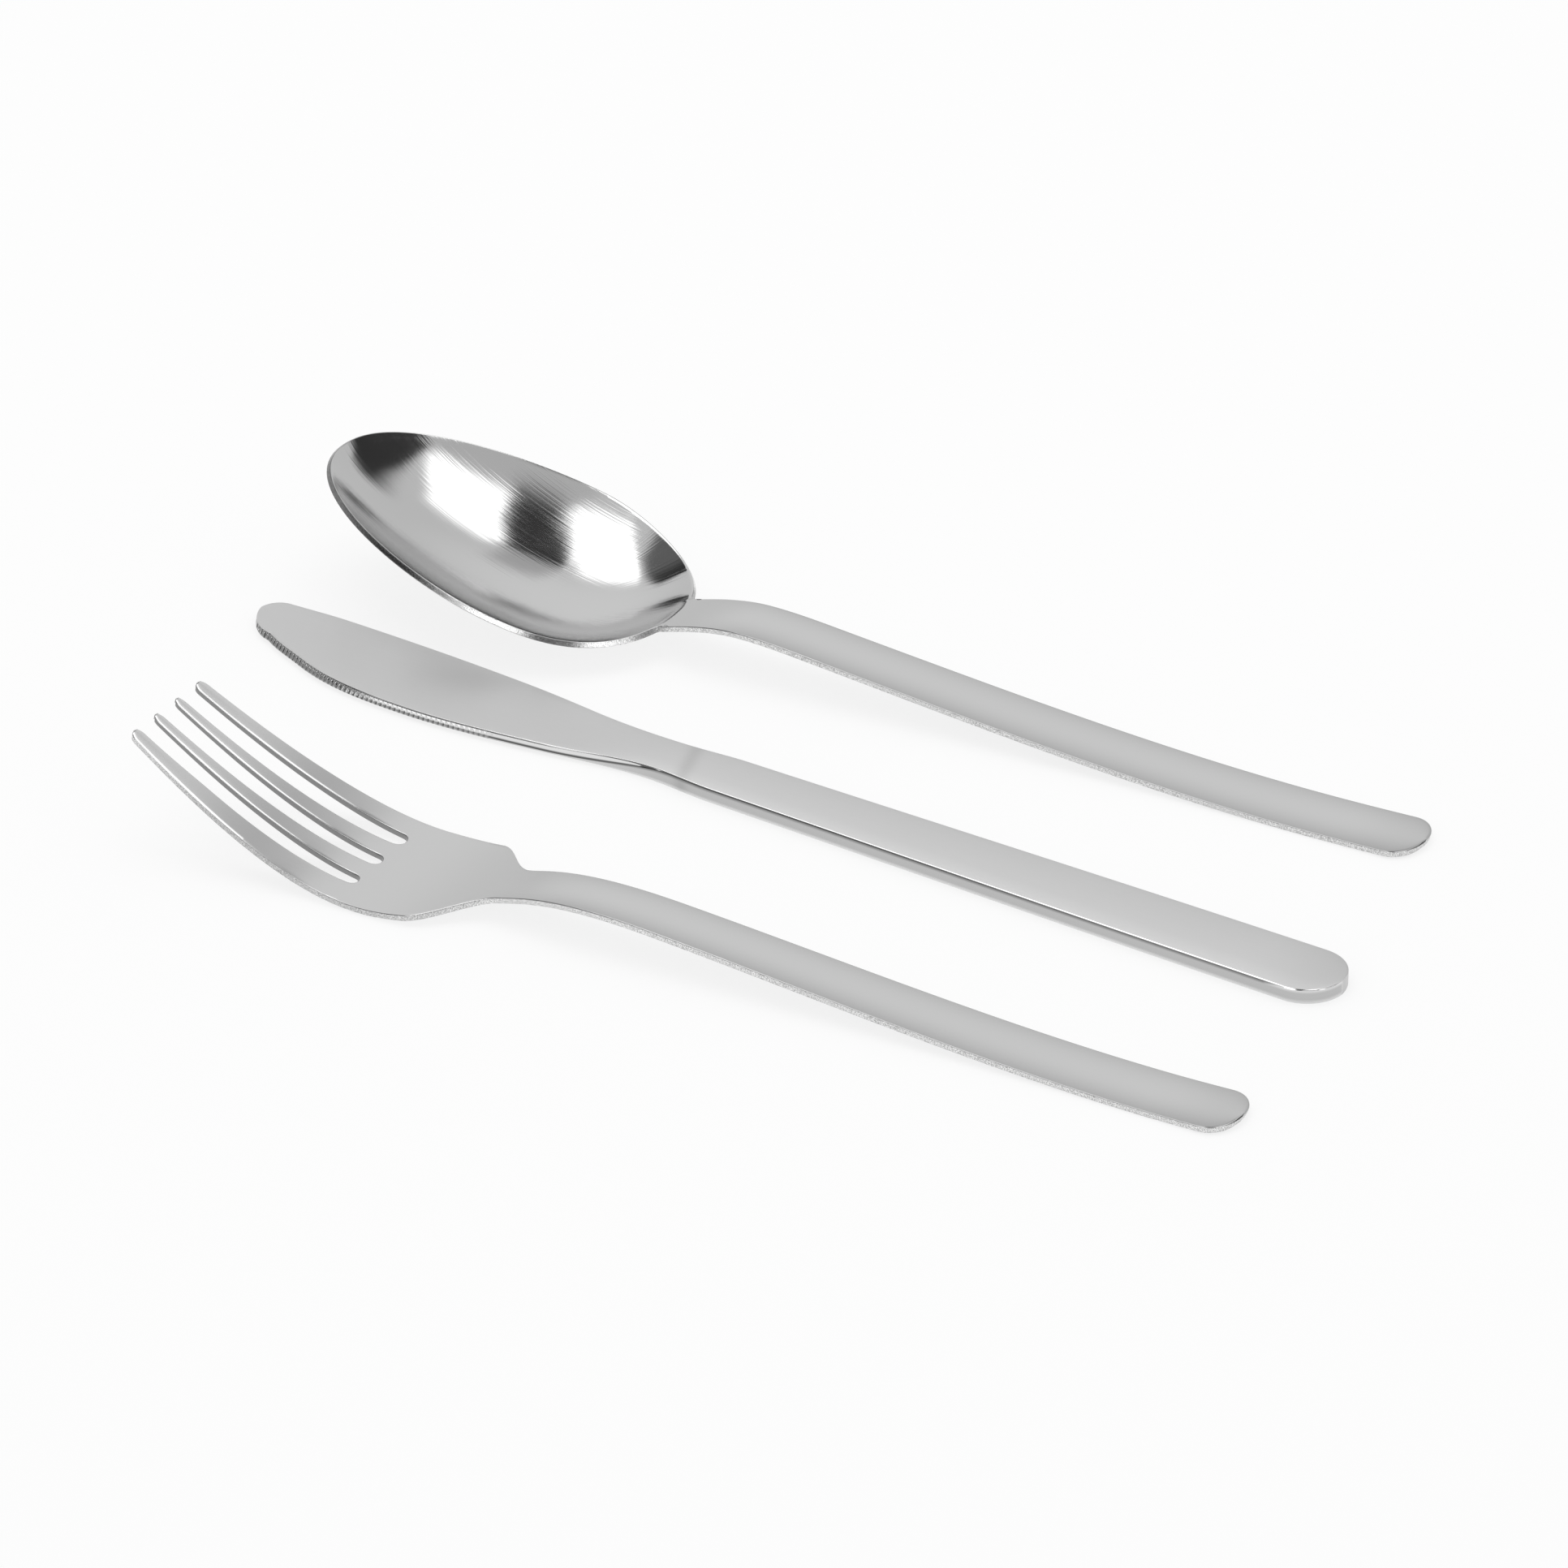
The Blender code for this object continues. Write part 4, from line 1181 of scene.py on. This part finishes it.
def ceiling_card(name, level, rows, strength, left=0.1, right=0.1, bottom=0.1, top=0.1):
    """Card over the table; each row is its left x, its right x and the y of both, in shares
    of the card height. A higher level hangs lower and covers the cards above it."""
    height = CARD_HEIGHT - level * CARD_GAP
    grid = bmesh.new()
    uv = grid.loops.layers.uv.new("card")
    sheet = []
    for x0, y0, x1, y1 in rows:
        sheet.append([])
        for k in range(CARD_COLUMNS + 1):
            s = k / CARD_COLUMNS
            sheet[-1].append(grid.verts.new(((x0 + (x1 - x0) * s) * height,
                                             (y0 + (y1 - y0) * s) * height, height)))
    last = len(rows) - 1
    for j in range(last):
        for k in range(CARD_COLUMNS):
            face = grid.faces.new((sheet[j][k], sheet[j][k + 1], sheet[j + 1][k + 1],
                                   sheet[j + 1][k]))
            for loop, (du, dv) in zip(face.loops, ((0, 0), (1, 0), (1, 1), (0, 1))):
                loop[uv].uv = ((k + du) / CARD_COLUMNS, (j + dv) / last)
    card = to_object(grid, name)
    card.data.materials.append(card_material(name, strength, left, right, bottom, top))
    only_in_reflections(card)


def seen_directly(wires):
    """1 for rays of the camera, of reflections and of glass, 0 for diffuse light."""
    ray = wires.node('ShaderNodeLightPath')
    total = wires.maths('MAXIMUM', ray.outputs["Is Camera Ray"], ray.outputs["Is Glossy Ray"])
    return wires.maths('MAXIMUM', total, ray.outputs["Is Transmission Ray"])


def hang_cards():
    """Soft boxes and black flags over the table, as the bowl of the spoon mirrors them."""
    ceiling_card("flag_right", 1, (
        (0.47, -0.1, 0.6, -0.14), (0.43, 0.05, 0.82, 0.05), (0.39, 0.25, 1.02, 0.27),
        (0.34, 0.45, 1.25, 0.47), (0.28, 0.7, 1.7, 0.72), (0.2, 0.95, 2.1, 0.95),
        (0.14, 1.2, 2.2, 1.2), (0.24, 1.45, 2.2, 1.45), (0.4, 1.8, 2.2, 1.8)),
        DARK_CARD, left=0.14, right=0.07, bottom=0.03, top=0.2)
    ceiling_card("softbox_far_right", 0, (
        (0.55, -0.3, 0.8, -0.4), (0.74, 0.0, 1.05, -0.1), (0.94, 0.22, 1.3, 0.15),
        (1.08, 0.42, 1.55, 0.4), (1.3, 0.66, 1.8, 0.6)),
        RIM_CARD, right=0.2, bottom=0.2, top=0.2)
    ceiling_card("softbox_right", 2, (
        (0.1, -0.14, 0.5, -0.1), (0.05, 0.05, 0.47, 0.02),
        (-0.02, 0.28, 0.37, 0.22), (-0.09, 0.5, 0.26, 0.44), (-0.07, 0.72, 0.2, 0.74)),
        BRIGHT_CARD, left=0.05, right=0.25, bottom=0.2, top=0.28)
    ceiling_card("flag_middle", 3, (
        (0.0, -0.3, 0.18, -0.32), (-0.07, -0.16, 0.12, -0.18), (-0.14, 0.02, 0.08, 0.0),
        (-0.22, 0.2, 0.04, 0.2), (-0.29, 0.36, -0.02, 0.37), (-0.32, 0.48, -0.08, 0.54)),
        DARK_CARD, left=0.3, right=0.12, bottom=0.4, top=0.025)
    ceiling_card("grey_front", 1, (
        (-0.3, -0.9, 0.8, -0.9), (-0.2, -0.45, 0.62, -0.4), (-0.12, -0.1, 0.5, -0.05),
        (0.0, 0.1, 0.4, 0.1)), GREY_FRONT_CARD, left=0.15, right=0.15, bottom=0.3, top=0.0)
    ceiling_card("softbox_left", 2, (
        (-0.27, -0.22, -0.05, -0.2), (-0.4, 0.0, -0.08, 0.0),
        (-0.55, 0.2, -0.16, 0.2), (-0.71, 0.4, -0.25, 0.42), (-0.83, 0.58, -0.3, 0.56)),
        BRIGHT_CARD, top=0.3)
    ceiling_card("grey_middle", 1, (
        (-0.32, 0.44, -0.07, 0.5), (-0.32, 0.8, -0.12, 0.8), (-0.34, 1.1, -0.16, 1.1)),
        SOFT_GREY_CARD, left=0.5, right=0.2, bottom=0.0, top=0.6)
    ceiling_card("flag_left", 1, (
        (-1.5, -0.6, -0.37, -0.3), (-1.3, 0.0, -0.48, 0.15),
        (-1.4, 0.25, -0.71, 0.42), (-1.7, 0.45, -0.91, 0.6), (-2.0, 0.7, -1.16, 0.77)),
        GREY_CARD, right=0.12)
    ceiling_card("flag_front_left", 2, (
        (-2.2, -1.9, -0.55, -1.8), (-1.8, -1.3, -0.5, -1.0),
        (-1.5, -0.55, -0.45, -0.25)),
        FRONT_FLAG, right=0.06, top=0.15)
    ceiling_card("flag_far_left", 2, (
        (-1.3, 0.05, -0.66, 0.3), (-1.7, 0.45, -0.93, 0.58), (-2.0, 0.68, -1.18, 0.75)),
        DARK_CARD, right=0.12, bottom=0.5)
    ceiling_card("softbox_front", 1, (
        (-0.4, -2.0, 0.72, -2.1), (-0.4, -0.95, 0.66, -1.2)),
        BRIGHT_CARD, left=0.15, right=0.06)
    ceiling_card("flag_front", 2, (
        (0.76, -2.4, 1.75, -2.2), (0.7, -1.1, 1.4, -1.05)),
        DARK_CARD, left=0.06, right=0.15)
    ceiling_card("softbox_front_right", 1, (
        (1.7, -2.2, 3.4, -1.8), (1.55, -0.9, 3.2, -0.3)),
        BRIGHT_CARD)


def make_room():
    """White surroundings, a little brighter on one side where they are mirrored."""
    room = bpy.data.worlds.new("white_room")
    bpy.context.scene.world = room
    wires = bare_tree(room)
    towards = wires.node('ShaderNodeVectorMath', {
        0: wires.node('ShaderNodeTexCoord').outputs["Generated"], 1: GLOW_FROM},
        operation='DOT_PRODUCT')
    glow = wires.ranged(towards.outputs["Value"], GLOW_NARROWS_AT, 1.0,
                        ROOM_STRENGTH, GLOW_STRENGTH, 'SMOOTHSTEP')
    light = wires.node('ShaderNodeBackground', {"Strength": ROOM_LIGHT})
    seen = wires.node('ShaderNodeBackground', {"Strength": glow})
    wires.node('ShaderNodeOutputWorld', {
        "Surface": two_shaders(wires, seen_directly(wires), light, seen)})


def set_table():
    floor = bmesh.new()
    half = TABLE_HALF_SIZE
    floor.faces.new([floor.verts.new((x, y, 0)) for x, y in
                     ((-half, -half), (half, -half), (half, half), (-half, half))])
    table = to_object(floor, "white_table")
    paint = bpy.data.materials.new("white_table")
    wires = bare_tree(paint)
    matt = wires.node('ShaderNodeBsdfDiffuse', {"Color": TABLE_COLOUR})
    glow = wires.node('ShaderNodeEmission')
    share = wires.times(seen_directly(wires), TABLE_GLOW_SHARE)
    wires.node('ShaderNodeOutputMaterial', {"Surface": two_shaders(wires, share, matt, glow)})
    table.data.materials.append(paint)


def hang_lamp():
    lamp = bpy.data.lights.new("overhead_lamp", 'AREA')
    lamp.shape = 'RECTANGLE'
    lamp.size, lamp.size_y = LAMP_SIZE
    lamp.energy = LAMP_ENERGY
    holder = add_object("overhead_lamp", lamp)
    holder.location = LAMP_PLACE
    holder.rotation_euler = (-LAMP_PLACE).to_track_quat('-Z', 'Y').to_euler()
    holder.visible_glossy = False


def make_camera():
    camera = bpy.data.cameras.new("camera")
    camera.sensor_width = SENSOR_WIDTH
    camera.lens = CAMERA_LENS
    camera.clip_end = FARTHEST_SEEN
    holder = add_object("camera", camera)
    flat = cos(CAMERA_ELEVATION)
    back = Vector((sin(CAMERA_AZIMUTH) * flat, -cos(CAMERA_AZIMUTH) * flat,
                   sin(CAMERA_ELEVATION)))
    holder.location = CAMERA_TARGET + back * CAMERA_DISTANCE
    holder.rotation_euler = (-back).to_track_quat('-Z', 'Y').to_euler()
    bpy.context.scene.camera = holder


def lay_down(piece, node, turn):
    """Lay the piece in its place and let it stand for the CAD node."""
    put_in_place(piece, turn, node)
    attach(piece, "root")
    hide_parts(node)


bpy.context.scene.view_settings.view_transform = 'Standard'
make_camera()
make_room()
set_table()
hang_lamp()
hang_cards()

spoon_low, spoon_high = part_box("spoon")
bowl_x = spoon_low.x + BOWL_TIP_TO_WIDEST
bowl_y = (spoon_low.y + spoon_high.y) / 2
pressing = pressing_tree()

spoon = cut_spoon_blank()
press_sheet(spoon,
            satin_steel("spoon_satin_steel", SPOON_TURN, SPOON_ROUGHNESS, SPOON_TILT,
                        (bowl_x, bowl_y)),
            cut_steel("spoon_cut_steel", SPOON_TURN, SPOON_CUT_ROUGHNESS, SPOON_CUT_TILT),
            satin_steel("spoon_under_steel", SPOON_TURN, SPOON_UNDER_ROUGHNESS, SPOON_TILT,
                        bright=True))
lay_down(spoon, "spoon", SPOON_TURN)

knife = make_knife(satin_steel("knife_satin_steel", KNIFE_TURN, KNIFE_ROUGHNESS, KNIFE_TILT))
lay_down(knife, "knife", KNIFE_TURN)

fork_low, fork_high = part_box("fork")
slot_end = fork_low.x + TINE_LENGTH + SHEET_THICKNESS
slot_side = (fork_low.y + fork_high.y) / 2 - 2 * TINE_ROOT_WIDTH
fork = cut_fork_blank()
press_sheet(fork,
            satin_steel("fork_satin_steel", FORK_TURN, FORK_ROUGHNESS, FORK_TILT),
            cut_steel("fork_cut_steel", FORK_TURN, FORK_CUT_ROUGHNESS, FORK_CUT_TILT,
                      (slot_end, slot_side)),
            satin_steel("fork_under_steel", FORK_TURN, FORK_ROUGHNESS, FORK_TILT,
                        bright=True))
lay_down(fork, "fork", FORK_TURN)
